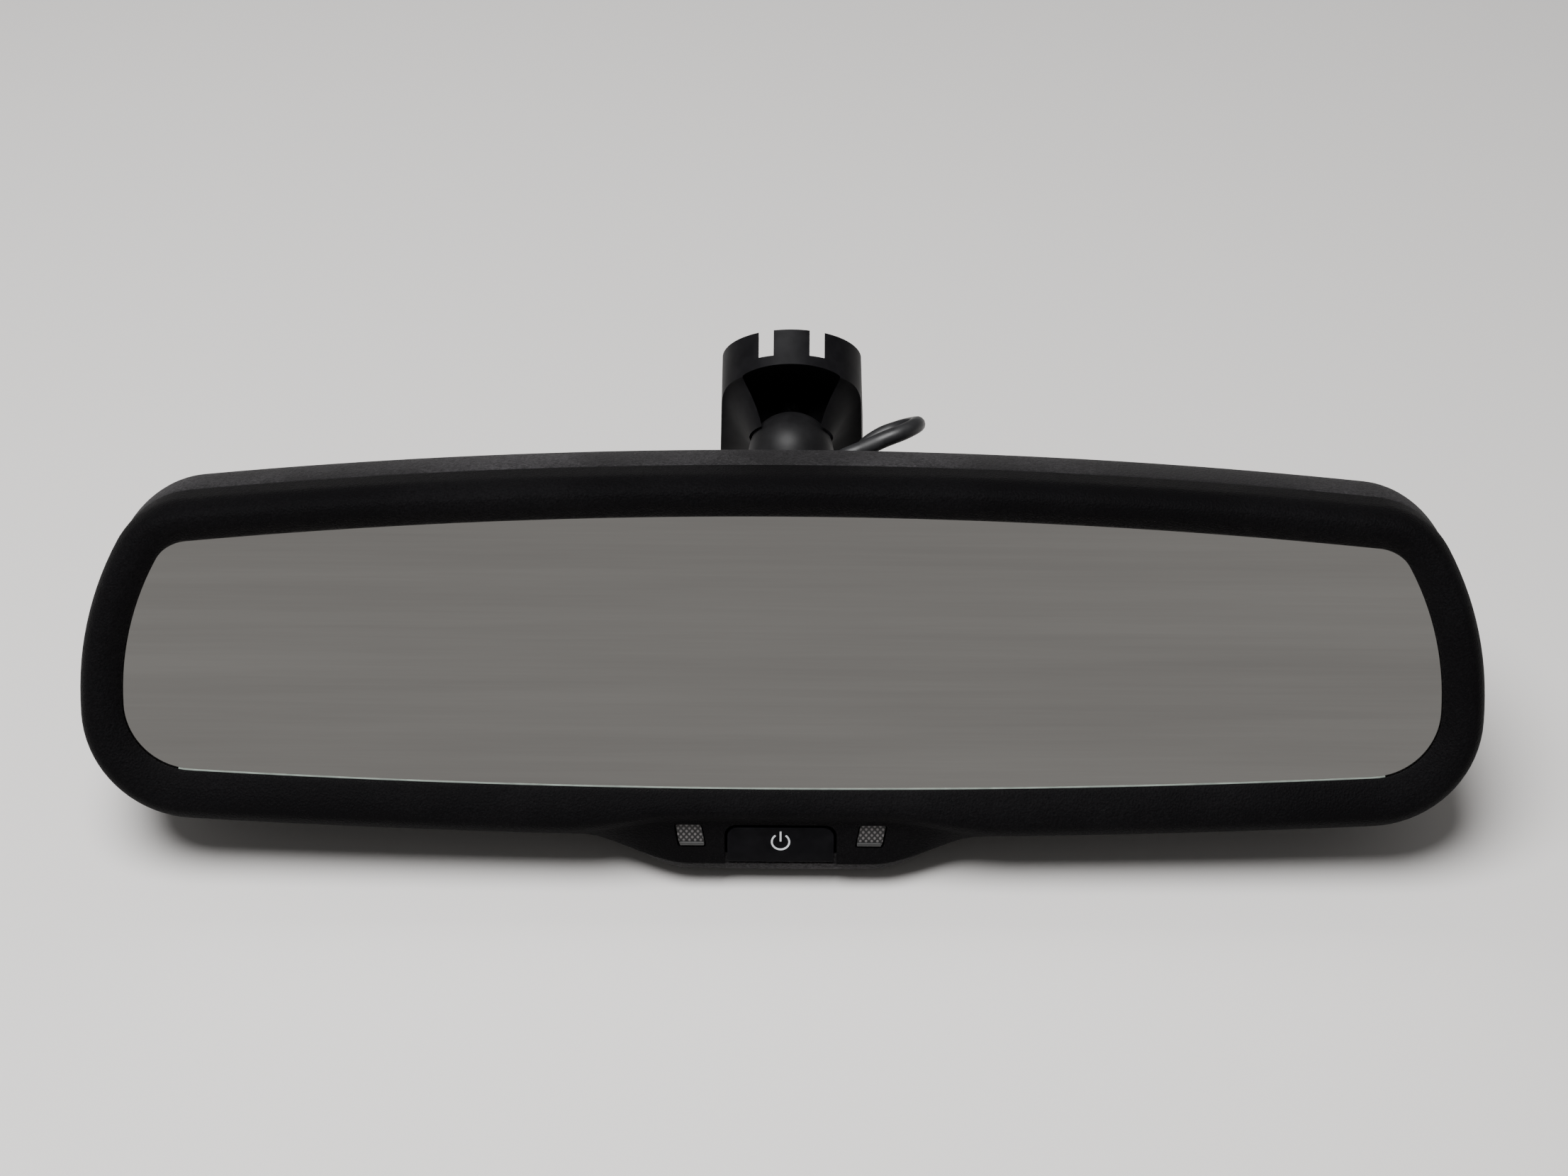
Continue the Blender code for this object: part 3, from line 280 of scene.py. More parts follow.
class Shader:
    """A material's node tree, with short calls for the nodes used here."""

    def __init__(self, name, colour, roughness, metallic=0.0, **settings):
        self.mat = bpy.data.materials.new(name)
        self.mat.use_nodes = True
        self.nodes = self.mat.node_tree.nodes
        self.links = self.mat.node_tree.links
        self.bsdf = self.nodes["Principled BSDF"]
        self.set("Base Color", (*colour, 1))
        self.set("Roughness", roughness)
        self.set("Metallic", metallic)
        for key, value in settings.items():
            self.set(key.replace("_", " "), value)
        self.space = self.nodes.new("ShaderNodeTexCoord").outputs["Object"]

    def set(self, name, value):
        self.bsdf.inputs[name].default_value = value

    def noise(self, per_mm, detail=3.0, stretch=None, rough=0.55):
        node = self.nodes.new("ShaderNodeTexNoise")
        node.inputs["Scale"].default_value = per_mm / MM
        node.inputs["Detail"].default_value = detail
        node.inputs["Roughness"].default_value = rough
        self.links.new(self.stretched(stretch), node.inputs["Vector"])
        return node.outputs["Fac"]

    def cells(self, per_mm, feature="F1", stretch=None):
        node = self.nodes.new("ShaderNodeTexVoronoi")
        node.feature = feature
        node.inputs["Scale"].default_value = per_mm / MM
        self.links.new(self.stretched(stretch), node.inputs["Vector"])
        return node.outputs["Distance"]

    def waves(self, per_mm, turn):
        node = self.nodes.new("ShaderNodeTexWave")
        node.inputs["Scale"].default_value = per_mm / MM
        mapping = self.nodes.new("ShaderNodeMapping")
        mapping.inputs["Rotation"].default_value = (0, turn, 0)
        self.links.new(self.space, mapping.inputs["Vector"])
        self.links.new(mapping.outputs["Vector"], node.inputs["Vector"])
        return node.outputs["Fac"]

    def stretched(self, stretch):
        if stretch is None:
            return self.space
        mapping = self.nodes.new("ShaderNodeMapping")
        mapping.inputs["Scale"].default_value = stretch
        self.links.new(self.space, mapping.inputs["Vector"])
        return mapping.outputs["Vector"]

    def ramp(self, fac, low, high, a, b):
        """fac from low to high becomes a value or colour from a to b."""
        node = self.nodes.new("ShaderNodeValToRGB")
        first, last = node.color_ramp.elements
        first.position, last.position = low, high
        first.color = (*a, 1) if isinstance(a, tuple) else (a, a, a, 1)
        last.color = (*b, 1) if isinstance(b, tuple) else (b, b, b, 1)
        self.links.new(fac, node.inputs["Fac"])
        return node.outputs["Color"]

    def math(self, operation, a, b):
        node = self.nodes.new("ShaderNodeMath")
        node.operation = operation
        for socket, value in zip(node.inputs, (a, b)):
            if isinstance(value, float):
                socket.default_value = value
            else:
                self.links.new(value, socket)
        return node.outputs[0]

    def use(self, name, output):
        self.links.new(output, self.bsdf.inputs[name])
        return self

    def bump(self, height, depth, strength=1.0):
        node = self.nodes.new("ShaderNodeBump")
        node.inputs["Strength"].default_value = strength
        node.inputs["Distance"].default_value = depth * MM
        self.links.new(height, node.inputs["Height"])
        self.links.new(node.outputs["Normal"], self.bsdf.inputs["Normal"])
        return self


def moulded(name, colour, roughness, grain, depth, light=1.8, **settings):
    """Grained black plastic: fine pebbles in the bump, with slightly paler tops and dust in the hollows."""
    s = Shader(name, colour, roughness, **settings)
    pebbles = s.cells(1 / grain)
    fine = s.noise(2.2 / grain, 2.0)
    s.bump(s.math("ADD", pebbles, fine), depth, 0.9)
    patches = s.noise(0.035, 3.0)
    dust = s.math("MULTIPLY", s.noise(0.9 / grain, 4.0, rough=0.7), patches)
    paler = tuple(c * light + 0.0015 for c in colour)
    s.use("Base Color", s.ramp(dust, 0.2, 0.42, colour, paler))
    s.use("Roughness", s.ramp(patches, 0.3, 0.7, roughness - 0.05, roughness + 0.07))
    return s.mat


def satin(name, colour, roughness, depth=0.01, **settings):
    """Smooth moulded plastic or paint with faint flow marks."""
    s = Shader(name, colour, roughness, **settings)
    s.bump(s.noise(2.5, 3.0), depth, 0.6)
    patches = s.noise(0.08, 4.0)
    s.use("Roughness", s.ramp(patches, 0.3, 0.7, roughness - 0.06, roughness + 0.08))
    paler = tuple(c * 1.5 + 0.001 for c in colour)
    s.use("Base Color", s.ramp(s.noise(0.4, 4.0), 0.35, 0.75, colour, paler))
    return s.mat


def metal(name, colour, roughness, cast=False):
    s = Shader(name, colour, roughness, 1.0)
    grain = s.noise(1.5, 5.0) if cast else s.noise(0.8, 4.0, (1, 1, 14))
    s.bump(grain, 0.05 if cast else 0.01, 0.6)
    s.use("Roughness", s.ramp(grain, 0.3, 0.7, roughness - 0.08, roughness + 0.14))
    s.use("Base Color", s.ramp(s.noise(0.3, 4.0), 0.3, 0.8, tuple(c * 0.75 for c in colour), colour))
    return s.mat


def mirror_material():
    """Silvered glass with faint wiping marks and dust."""
    s = Shader("mirror_silver", (0.96, 0.935, 0.9), 0.03, 1.0)
    smears = s.noise(0.02, 5.0, (0.25, 1.0, 2.2))
    wipes = s.noise(0.12, 4.0, (0.06, 1.0, 2.6), rough=0.7)
    streaks = s.math("MULTIPLY", s.math("ADD", smears, wipes), 0.5)
    s.use("Base Color", s.ramp(streaks, 0.36, 0.64, (0.86, 0.835, 0.803), (1.0, 0.978, 0.937)))
    s.use("Roughness", s.ramp(s.noise(0.05, 6.0, (0.2, 1, 1.5)), 0.35, 0.8, 0.025, 0.09))
    return s.mat


def lens_material():
    """Smoked lens with fine diagonal ribs both ways."""
    s = Shader("smoked_lens", (0.06, 0.058, 0.058), 0.4, IOR=1.49)
    one = s.waves(0.42, math.radians(45))
    two = s.waves(0.42, math.radians(-45))
    weave = s.math("MULTIPLY", one, two)
    s.use("Base Color", s.ramp(weave, 0.1, 0.6, (0.008, 0.0075, 0.008), (0.115, 0.108, 0.108)))
    return s.bump(weave, 0.05, 0.7).mat


def rubber(name, colour, roughness=0.55):
    s = Shader(name, colour, roughness)
    s.bump(s.noise(3.0, 3.0), 0.02, 0.6)
    paler = tuple(c * 1.7 + 0.004 for c in colour)
    s.use("Base Color", s.ramp(s.noise(0.3, 5.0, rough=0.7), 0.35, 0.8, colour, paler))
    s.use("Roughness", s.ramp(s.noise(0.15, 4.0), 0.3, 0.7, roughness - 0.08, roughness + 0.1))
    return s.mat


def make_materials():
    bezel, housing = (0.003, 0.0028, 0.0032), (0.0135, 0.0128, 0.0137)
    return {
        "bezel": moulded("bezel_black", bezel, 0.58, 0.45, 0.16, 1.5, Specular_IOR_Level=0.025),
        "housing": moulded("housing_black", housing, 0.62, 0.6, 0.24, 3.4, Specular_IOR_Level=0.12),
        "button": satin("button_black", (0.003, 0.0029, 0.0036), 0.5, Specular_IOR_Level=0.03),
        "symbol": satin("symbol_white", (0.55, 0.57, 0.6), 0.45),
        "lens": lens_material(),
        # painted shade: dark strip for the shaded lower wall of each window's recess
        "lens_shade_lip": satin("lens_shade_lip", (0.02, 0.02, 0.02), 0.5),
        "mirror": mirror_material(),
        # painted highlight: pale strip for the lit ground edge of the glass, along the bottom only
        "glass_edge_highlight": satin("glass_edge_highlight", (0.26, 0.3, 0.27), 0.25),
        "arm": satin("arm_black", (0.0062, 0.006, 0.0066), 0.5, Specular_IOR_Level=0.2),
        "foot": satin("foot_black", (0.0052, 0.005, 0.0058), 0.5, Specular_IOR_Level=0.06),
        "inner": satin("inner_plastic", (0.014, 0.014, 0.014), 0.5),
        "cable": rubber("cable_black", (0.009, 0.009, 0.01), 0.45),
        "rubber": rubber("rubber_black", (0.012, 0.012, 0.012), 0.6),
        "tie": satin("tie_black", (0.012, 0.012, 0.012), 0.4),
        "connector": satin("connector_grey", (0.11, 0.11, 0.112), 0.45),
        "steel": metal("plated_steel", (0.55, 0.54, 0.52), 0.3),
        "screw": metal("screw_zinc", (0.58, 0.56, 0.52), 0.3),
        "spring": metal("spring_steel", (0.5, 0.48, 0.46), 0.28),
        "oxide": metal("black_oxide", (0.03, 0.03, 0.032), 0.4),
        "zinc": metal("cast_zinc", (0.36, 0.36, 0.37), 0.42, True),
        "nylon": satin("nylon_natural", (0.62, 0.6, 0.52), 0.42),
        "seal": rubber("epoxy_seal", (0.03, 0.03, 0.03), 0.5),
        "foam": rubber("foam_tape", (0.07, 0.07, 0.07), 0.9),
        "board": satin("board_green", (0.012, 0.09, 0.035), 0.38),
        "chip": satin("chip_black", (0.015, 0.015, 0.015), 0.4),
        "led": satin("led_white", (0.75, 0.75, 0.68), 0.3),
    }


SLOT_MATERIAL = {
    "bezel_black": "bezel", "housing_black": "housing", "inner_plastic": "inner", "button_black": "button",
    "smoked_lens": "lens", "mirror_glass": "mirror", "epoxy_seal": "seal", "foam_tape": "foam",
    "spring_steel": "spring", "board_green": "board", "chip_black": "chip", "led_white": "led",
    "connector_grey": "connector", "rubber_black": "rubber", "cable_black": "cable", "tie_black": "tie",
    "plated_steel": "steel", "screw_zinc": "screw", "arm_black": "arm", "nylon_natural": "nylon",
    "foot_black": "foot", "cast_zinc": "zinc", "black_oxide": "oxide",
}


def dress_cad_nodes(mats):
    """Every CAD node gets the finished material of its record slot."""
    for part in frame["record"]["subparts"]:
        obj = frame["nodes"].get(part["node"])
        if obj is None:
            continue
        obj.data.materials.clear()
        obj.data.materials.append(mats[SLOT_MATERIAL[part["material_slot"]]])


# ---------------------------------------------------------------- head outline


def circles_meet(first, first_radius, second, second_radius):
    apart = second - first
    far = apart.length
    reach = (first_radius**2 - second_radius**2 + far**2) / (2 * far)
    height = math.sqrt(first_radius**2 - reach**2)
    middle = first + apart * reach / far
    across = Vector((-apart.y, apart.x)) * height / far
    return max((middle + across, middle - across), key=lambda p: p.x)


def angle_to(centre, point):
    return math.atan2(point.y - centre.y, point.x - centre.x)


def half_outline():
    top_centre = Vector((0, GLASS_TOP - TOP_RADIUS))
    bottom_centre = Vector((0, GLASS_BOTTOM + BOTTOM_RADIUS))
    upper = circles_meet(top_centre, TOP_RADIUS - TOP_CORNER, SIDE_CENTRE, SIDE_RADIUS - TOP_CORNER)
    lower = circles_meet(
        SIDE_CENTRE, SIDE_RADIUS - BOTTOM_CORNER, bottom_centre, BOTTOM_RADIUS - BOTTOM_CORNER
    )
    turns = (
        math.pi / 2,
        angle_to(top_centre, upper),
        angle_to(SIDE_CENTRE, upper),
        angle_to(SIDE_CENTRE, lower),
        angle_to(bottom_centre, lower),
    )
    arcs = (
        (top_centre, TOP_RADIUS, turns[0], turns[1], 22),
        (upper, TOP_CORNER, turns[1], turns[2], 14),
        (SIDE_CENTRE, SIDE_RADIUS, turns[2], turns[3], 14),
        (lower, BOTTOM_CORNER, turns[3], turns[4], 18),
    )
    outline = []
    for centre, radius, start, end, steps in arcs:
        for k in range(steps):
            angle = mix(start, end, k / steps)
            normal = Vector((math.cos(angle), math.sin(angle)))
            outline.append((centre + normal * radius, normal))
    across = [mix(lower.x, CHIN_END, k / 10) for k in range(10)]
    chin = [mix(CHIN_END, CHIN_FLAT, k / 18) for k in range(19)]
    for x in [*across, *chin, 11 * MM, 8 * MM, 4 * MM, 0.0]:
        normal = Vector((x / BOTTOM_RADIUS, -math.sqrt(1 - (x / BOTTOM_RADIUS) ** 2)))
        outline.append((bottom_centre + normal * BOTTOM_RADIUS, normal))
    return outline


def full_outline():
    right = half_outline()
    left = [(Vector((-p.x, p.y)), Vector((-n.x, n.y))) for p, n in right[-2:0:-1]]
    return right + left


OUTLINE = full_outline()


def chin_share(point):
    if point.y > GLASS_BOTTOM + 4 * MM:
        return 0.0
    return smoothstep((CHIN_END - abs(point.x)) / (CHIN_END - CHIN_FLAT))


def ring(grow, depth, chin_grow=None, chin_depth=None, shrink=0.0):
    chin_grow = grow if chin_grow is None else chin_grow
    chin_depth = depth if chin_depth is None else chin_depth
    points = []
    for point, normal in OUTLINE:
        share = chin_share(point)
        reach = mix(grow, chin_grow, share) * MM
        drop = mix(SINK, SINK_BELOW, smoothstep(-point.y / (15 * MM)))
        place = point + normal * reach - Vector((0, drop * reach))
        place = place * (1 - shrink)
        points.append(Vector((place.x, mix(depth, chin_depth, share) * MM, place.y)))
    return points


def window_shape(side, clear, front, back):
    top = WINDOW_MIDDLE + WINDOW_HEIGHT / 2 + clear
    base = WINDOW_MIDDLE - WINDOW_HEIGHT / 2 - clear
    half = WINDOW_WIDTH / 2 + clear
    high, low = WINDOW_X + WINDOW_LEAN / 2, WINDOW_X - WINDOW_LEAN / 2
    corners = ((high + half, top), (high - half, top), (low - half, base), (low + half, base))
    outline = []
    for k, corner in enumerate(corners):
        corner, before, after = Vector(corner), Vector(corners[k - 1]), Vector(corners[(k + 1) % 4])
        start = corner + (before - corner).normalized() * 0.55 * MM
        end = corner + (after - corner).normalized() * 0.55 * MM
        outline += [start.lerp(corner, t).lerp(corner.lerp(end, t), t) for t in (0, 0.25, 0.5, 0.75, 1)]
    return plate([(side * x, z) for x, z in outline], front, back)


# ---------------------------------------------------------------- head


def make_bezel(mats):
    section = (
        (0.0, 0.0, 0.0, 0.0),
        (0.05, -0.7, 0.05, -0.7),
        (1.0, -1.6, 0.8, -1.6),
        (2.6, -2.6, 1.9, -2.5),
        (4.2, -3.0, 3.0, -2.8),
        (5.4, -2.9, 3.8, -2.4),
        (6.4, -2.1, 4.4, -1.5),
        (7.2, -0.7, 5.2, -0.6),
        (7.9, 1.6, 8.4, 0.1),
        (8.15, 4.5, 11.7, 0.8),
        (8.25, 7.0, 12.3, 1.2),
        (8.25, 8.6, 12.45, 1.9),
        (7.9, 8.8, 12.2, 2.3),
        (6.2, 8.8, 10.7, 2.7),
        (6.0, 2.8, 5.6, 1.8),
        (4.8, 1.2, 4.4, 1.0),
        (2.8, 0.0, 2.5, 0.0),
    )
    rings = [ring(*s) for s in spline(section, 4, True)]
    bezel = piece("bezel_shell", loft(rings, capped=False), mats["bezel"], "mirror_head", HEAD,
                  ("bezel",))
    for side in (-1, 1):
        cut(bezel, window_shape(side, 0.3 * MM, -3 * MM, 6 * MM), HEAD)
    opening = rounded(2 * BUTTON_HALF + 1.0 * MM, 30 * MM, 2.2 * MM)
    middle = BUTTON_TOP + 0.5 * MM - 15 * MM
    cut(bezel, plate([(x, z + middle) for x, z in opening], -4 * MM, 12 * MM), HEAD)


def make_housing(mats):
    outer = (
        (7.9, 9.2, 12.4, 2.8),
        (8.25, 9.4, 12.8, 2.75),
        (8.7, 12.5, 14.1, 4.5),
        (8.9, 17.5, 14.5, 9.5),
        (8.4, 21.8, 12.6, 15.0),
        (6.4, 25.6, 9.3, 21.5),
        (2.6, 28.8, 3.1, 27.0),
        (-3.0, 31.2, -3.0, 30.8),
    )
    inner = (
        (6.25, 9.2, 11.0, 3.15),
        (6.9, 16.0, 12.8, 9.5),
        (5.4, 22.6, 8.8, 18.0),
        (1.4, 26.9, 1.7, 25.0),
        (-3.6, 29.2, -3.6, 28.8),
    )
    crown = ((0.22, 32.5), (0.5, 33.5))
    outer_rings = [ring(*s) for s in spline(outer, 4, False)]
    outer_rings += [ring(-3.0, y, shrink=s) for s, y in ((0.07, 31.68), (0.14, 32.1), *crown)]
    inner_rings = [ring(*s) for s in inner] + [ring(-3.6, y - 2.0, shrink=s) for s, y in crown]
    case = piece("housing_shell", loft(inner_rings[::-1] + outer_rings), mats["housing"],
                 "mirror_head", HEAD, ("rear_housing",))
    cut(case, rod(13.9 * MM, 20 * MM, 40 * MM, 96), HEAD @ facing_back(0, 0, LOWER_BALL.z))
    cut(case, rod(2.9 * MM, -8 * MM, 6 * MM), HEAD @ along(EXIT, EXIT_WAY))
    cut(case, rod(3.3 * MM, 22 * MM, 40 * MM), HEAD @ facing_back(AMBIENT_LENS.x, 0, AMBIENT_LENS.y))
    for x in (-CASE_SCREW.x, CASE_SCREW.x):
        cut(case, rod(1.7 * MM, 22 * MM, 40 * MM), HEAD @ facing_back(x, 0, CASE_SCREW.y))
        cut(case, rod(3.4 * MM, 30.2 * MM, 40 * MM), HEAD @ facing_back(x, 0, CASE_SCREW.y))
    for k in range(4):
        for side in (-1, 1):
            x = side * (30 + 5 * k) * MM
            slot = [(x + dx, z - 13 * MM) for dx, z in rounded(1.8 * MM, 9 * MM, 0.85 * MM)]
            cut(case, plate(slot, 24 * MM, 40 * MM), HEAD)


def make_glass(mats):
    """The front pane, with a pale strip along its lower edge: the ground edge's own greenish tone plus a
    painted highlight, drawn only where the light catches it against the bezel.
    """
    pane = [(p.x, p.z) for p in ring(2.0, 0)]
    piece("mirror_pane", plate(pane, 0.3 * MM, 2.3 * MM), mats["mirror"], "mirror_head", HEAD,
          ("front_glass",))
    # A pale strip on the glass face, along the bottom edge only: painted highlight of the lit ground edge.
    inner, outer = ring(-0.34, 0.24), ring(-0.12, 0.24)
    low = [i for i, (p, _) in enumerate(OUTLINE) if p.y < GLASS_BOTTOM + 3.5 * MM and abs(p.x) < 112 * MM]
    bars = []
    for i in low:
        back = Vector((0, 0.04 * MM, 0))
        bars.append([inner[i], outer[i], outer[i] + back, inner[i] + back])
    piece("glass_edge_highlight_line", loft(bars), mats["glass_edge_highlight"], "mirror_head", HEAD)


def make_button(mats):
    profile = (
        (BUTTON_TOP, -0.5), (-36.5 * MM, 0.02), (-38.5 * MM, 0.38), (-40.2 * MM, 0.7), (-40.7 * MM, 1.0),
        (-40.75 * MM, 1.9), (BUTTON_TOP, 2.0),
    )
    sides = [[Vector((x, y * MM, z)) for z, y in profile] for x in (-BUTTON_HALF, BUTTON_HALF)]
    cap = piece("button_cap", loft(sides), mats["button"], "button", HEAD,
                ("power_button",))
    trim = [(x, z + BUTTON_TOP - 10 * MM) for x, z in rounded(2 * BUTTON_HALF, 20 * MM, 1.9 * MM)]
    cut(cap, plate(trim, -2 * MM, 12 * MM), HEAD, "INTERSECT")
    soften(cap, 0.35 * MM, 3)
    post = piece("button_post", rod(1.5 * MM, 2.4 * MM, 7.4 * MM), mats["button"], "button",
                 HEAD @ facing_back(0, 0, BUTTON_MIDDLE))
    soften(post, 0.1 * MM)
    make_symbol(mats)


def make_symbol(mats):
    """The usual on-off sign, printed on the button's face."""
    radius, stroke, gap, tilt = 1.62 * MM, 0.16 * MM, math.radians(36), math.radians(10.2)
    lean = HEAD @ Matrix.Translation((0, -0.03 * MM, BUTTON_MIDDLE)) @ Matrix.Rotation(tilt, 4, "X")
    corners = ((radius - stroke, -0.05), (radius + stroke, -0.05), (radius + stroke, 0.1),
               (radius - stroke, 0.1))
    rings = []
    for k in range(49):
        angle = math.pi / 2 + mix(gap, 2 * math.pi - gap, k / 48)
        way = Vector((math.cos(angle), 0, math.sin(angle)))
        rings.append([way * r + Vector((0, y * MM, 0)) for r, y in corners])
    piece("power_sign_ring", loft(rings), mats["symbol"], "button", lean)
    bar = block((-stroke, -0.05 * MM, 0.1 * MM), (stroke, 0.1 * MM, 2.15 * MM))
    piece("power_sign_bar", bar, mats["symbol"], "button", lean)


def make_windows(mats):
    for side, node in ((-1, "indicator_lens"), (1, "glare_sensor_lens")):
        piece(node + "_face", window_shape(side, 0, 0.45 * MM, 4.6 * MM), mats["lens"],
              "mirror_head", HEAD, (node,))
        # The dark lip across the bottom of each window is painted shade, standing for the recess's lower
        # wall in shadow.
        base = WINDOW_MIDDLE - WINDOW_HEIGHT / 2
        outer = side * (WINDOW_X + (WINDOW_WIDTH - WINDOW_LEAN) / 2 - 0.1 * MM)
        inner = side * (WINDOW_X - (WINDOW_WIDTH + WINDOW_LEAN) / 2 + 0.1 * MM)
        shade_lip = block((min(outer, inner), 0.1 * MM, base), (max(outer, inner), 1.3 * MM, base + 0.7 * MM))
        shade_lip = piece(node + "_shade_lip", shade_lip, mats["lens_shade_lip"], "mirror_head", HEAD)
        soften(shade_lip, 0.15 * MM)


def make_back_details(mats):
    way = (UPPER_BALL - LOWER_BALL).normalized()
    well = [(15.6, 23.5), (17.0, 23.5), (13.6, 28.5), (13.6, 34.0), (13.35, 34.5), (13.0, 34.6),
            (12.65, 34.4), (12.5, 34.0), (12.5, 28.5)]
    socket = piece("arm_well_ring", turned_mm(well, 96), mats["inner"], "mirror_head",
                   HEAD @ facing_back(0, 0, LOWER_BALL.z), ("arm_well",))
    cut(socket, rod(4.2 * MM, -14 * MM, 0), HEAD @ along(EXIT, EXIT_WAY))
    grommet = [(2.3, -4.7), (3.7, -4.7), (3.7, -3.9), (2.6, -3.5), (2.6, 2.3), (3.05, 2.55),
               (3.2, 2.9), (3.05, 3.3), (2.5, 3.5), (2.2, 3.6), (2.2, 3.85), (2.4, 3.95),
               (2.3, 4.6), (1.9, 4.6), (1.9, -1.0)]
    piece("cable_boot", turned_mm(grommet, 48), mats["rubber"], "mirror_head",
          HEAD @ along(EXIT, EXIT_WAY), ("cable_grommet",))
    lens = [(0, 0), (3.6, 0), (3.6, 1.0), (2.9, 1.0), (2.9, 3.7), (2.6, 4.3), (1.9, 4.75),
            (1.0, 4.95), (0, 5.0)]
    place = HEAD @ facing_back(AMBIENT_LENS.x, 27.6 * MM, AMBIENT_LENS.y)
    piece("ambient_dome", turned_mm(lens, 48), mats["lens"], "mirror_head", place,
          ("ambient_lens",))
    make_arm(mats, way)


def make_arm(mats, way):
    """The arm: a tube with a domed socket at each end."""
    length = (UPPER_BALL - LOWER_BALL).length / MM
    dome, cavity, waist, bore = 8.65, 7.35, 6.6, 5.3
    rim = math.radians(48)
    mouth = [mix(rim, math.pi - math.asin(waist / dome), k / 16) for k in range(17)]
    outside = [(dome * math.sin(a), length / 2 + dome * math.cos(a)) for a in mouth]
    socket = [mix(math.pi - math.asin(bore / cavity), rim, k / 16) for k in range(17)]
    inside = [(cavity * math.sin(a), length / 2 + cavity * math.cos(a)) for a in socket]
    upper = inside + outside
    profile = upper + [(r, -z) for r, z in reversed(upper)]
    piece("arm_body", turned_mm(profile, 96), mats["arm"], "arm",
          HEAD @ along((LOWER_BALL + UPPER_BALL) / 2, way), ("arm_tube",))


# ---------------------------------------------------------------- foot


def foot_plan(front_steps=48):
    corner = 8 * MM
    turns = [math.pi / 2 * k / front_steps for k in range(front_steps + 1)]
    right = [(FOOT_FRONT * math.sin(a), -FOOT_FRONT * math.cos(a)) for a in turns]
    right += [(mix(FOOT_FRONT, FOOT_FLANK, t), t * 30 * MM) for t in (0.15, 0.33, 0.5, 0.66, 0.85, 1.0)]
    x, y = FOOT_FLANK - corner, FOOT_END - corner
    ends = [math.pi / 2 * k / 12 for k in range(13)]
    right += [(x + corner * math.cos(a), y + corner * math.sin(a)) for a in ends]
    return right + [(-x, y) for x, y in right[:0:-1]]


def edge_height(y):
    return mix(12.5 * MM, 5.0 * MM, smoothstep((y + 8 * MM) / (24 * MM)))


def scoop(plan, share):
    points = []
    for x, y in plan:
        toward = Vector((x, y)).normalized() * 8.5 * MM
        height = mix(edge_height(y), 3.6 * MM, share**1.6)
        points.append(Vector((mix(x, toward.x, share), mix(y, toward.y, share), height)))
    return points


def goblet():
    low, high, narrow, wide, rise = -2.0, 12.6, 5.3, 9.8, 1.1
    side = []
    for k in range(17):
        t = k / 16
        side.append((mix(narrow, wide, t**2.1) * MM, mix(low, high, t) * MM))
    turns = [math.pi * k / 28 for k in range(1, 28)]
    arch = [(wide * math.cos(a) * MM, (high + rise * math.sin(a)) * MM) for a in turns]
    return side + arch + [(-x, z) for x, z in reversed(side)]


def make_foot(mats):
    plan = foot_plan()
    outer = [[Vector((x, y, FOOT_TOP)) for x, y in plan]]
    outer += [scoop(plan, k / 14) for k in range(15)]
    pocket = [[Vector((*(Vector((x, y)).normalized() * 8.5 * MM), 13.9 * MM)) for x, y in plan]]
    cover = piece("foot_shell", loft(outer + pocket), mats["foot"], "windshield_foot", FOOT,
                  ("foot_cover",))
    wall = 2 * MM
    middle = 18 * MM
    across, lengthways = 1 - wall / FOOT_FRONT, 1 - wall / (FOOT_END - middle)
    inside = [(x * across, middle + (y - middle) * lengthways) for x, y in plan]
    cut(cover, upright(inside, 15.5 * MM, 24 * MM), FOOT)
    hollow = [(x, y + 31.2 * MM) for x, y in rounded(26.2 * MM, 34.2 * MM, 6.4 * MM)]
    cut(cover, upright(hollow, 7.3 * MM, 24 * MM), FOOT)
    cut(cover, loft([[Vector((x, y, z)) for x, z in goblet()] for y in (-20 * MM, 0)]), FOOT)
    cut(cover, block((-10.6 * MM, 44 * MM, 15.4 * MM), (10.6 * MM, 60 * MM, 30 * MM)), FOOT)
    for side in (-1, 1):
        x = side * 5.1 * MM
        cut(cover, block((x - 1.5 * MM, -20 * MM, 15.7 * MM), (x + 1.5 * MM, -6 * MM, 24 * MM)), FOOT)
    way = UPPER_BALL - LOWER_BALL
    stem = HEAD @ along(UPPER_BALL, Vector((0, way.y, way.z)))
    cut(cover, rod(4.0 * MM, 9 * MM, 20 * MM), stem)
    cut(cover, rod(3.4 * MM, -5 * MM, 12 * MM), FOOT @ Matrix.Translation((0, 32 * MM, 0)))
    for x in (-8.5 * MM, 8.5 * MM):
        place = FOOT @ Matrix.Translation((x, 43 * MM, 0))
        cut(cover, rod(1.6 * MM, -5 * MM, 12 * MM), place)
        cut(cover, rod(3.3 * MM, -5 * MM, 5.8 * MM), place.copy())
    soften(cover, 0.3 * MM, 2)


# ---------------------------------------------------------------- cable


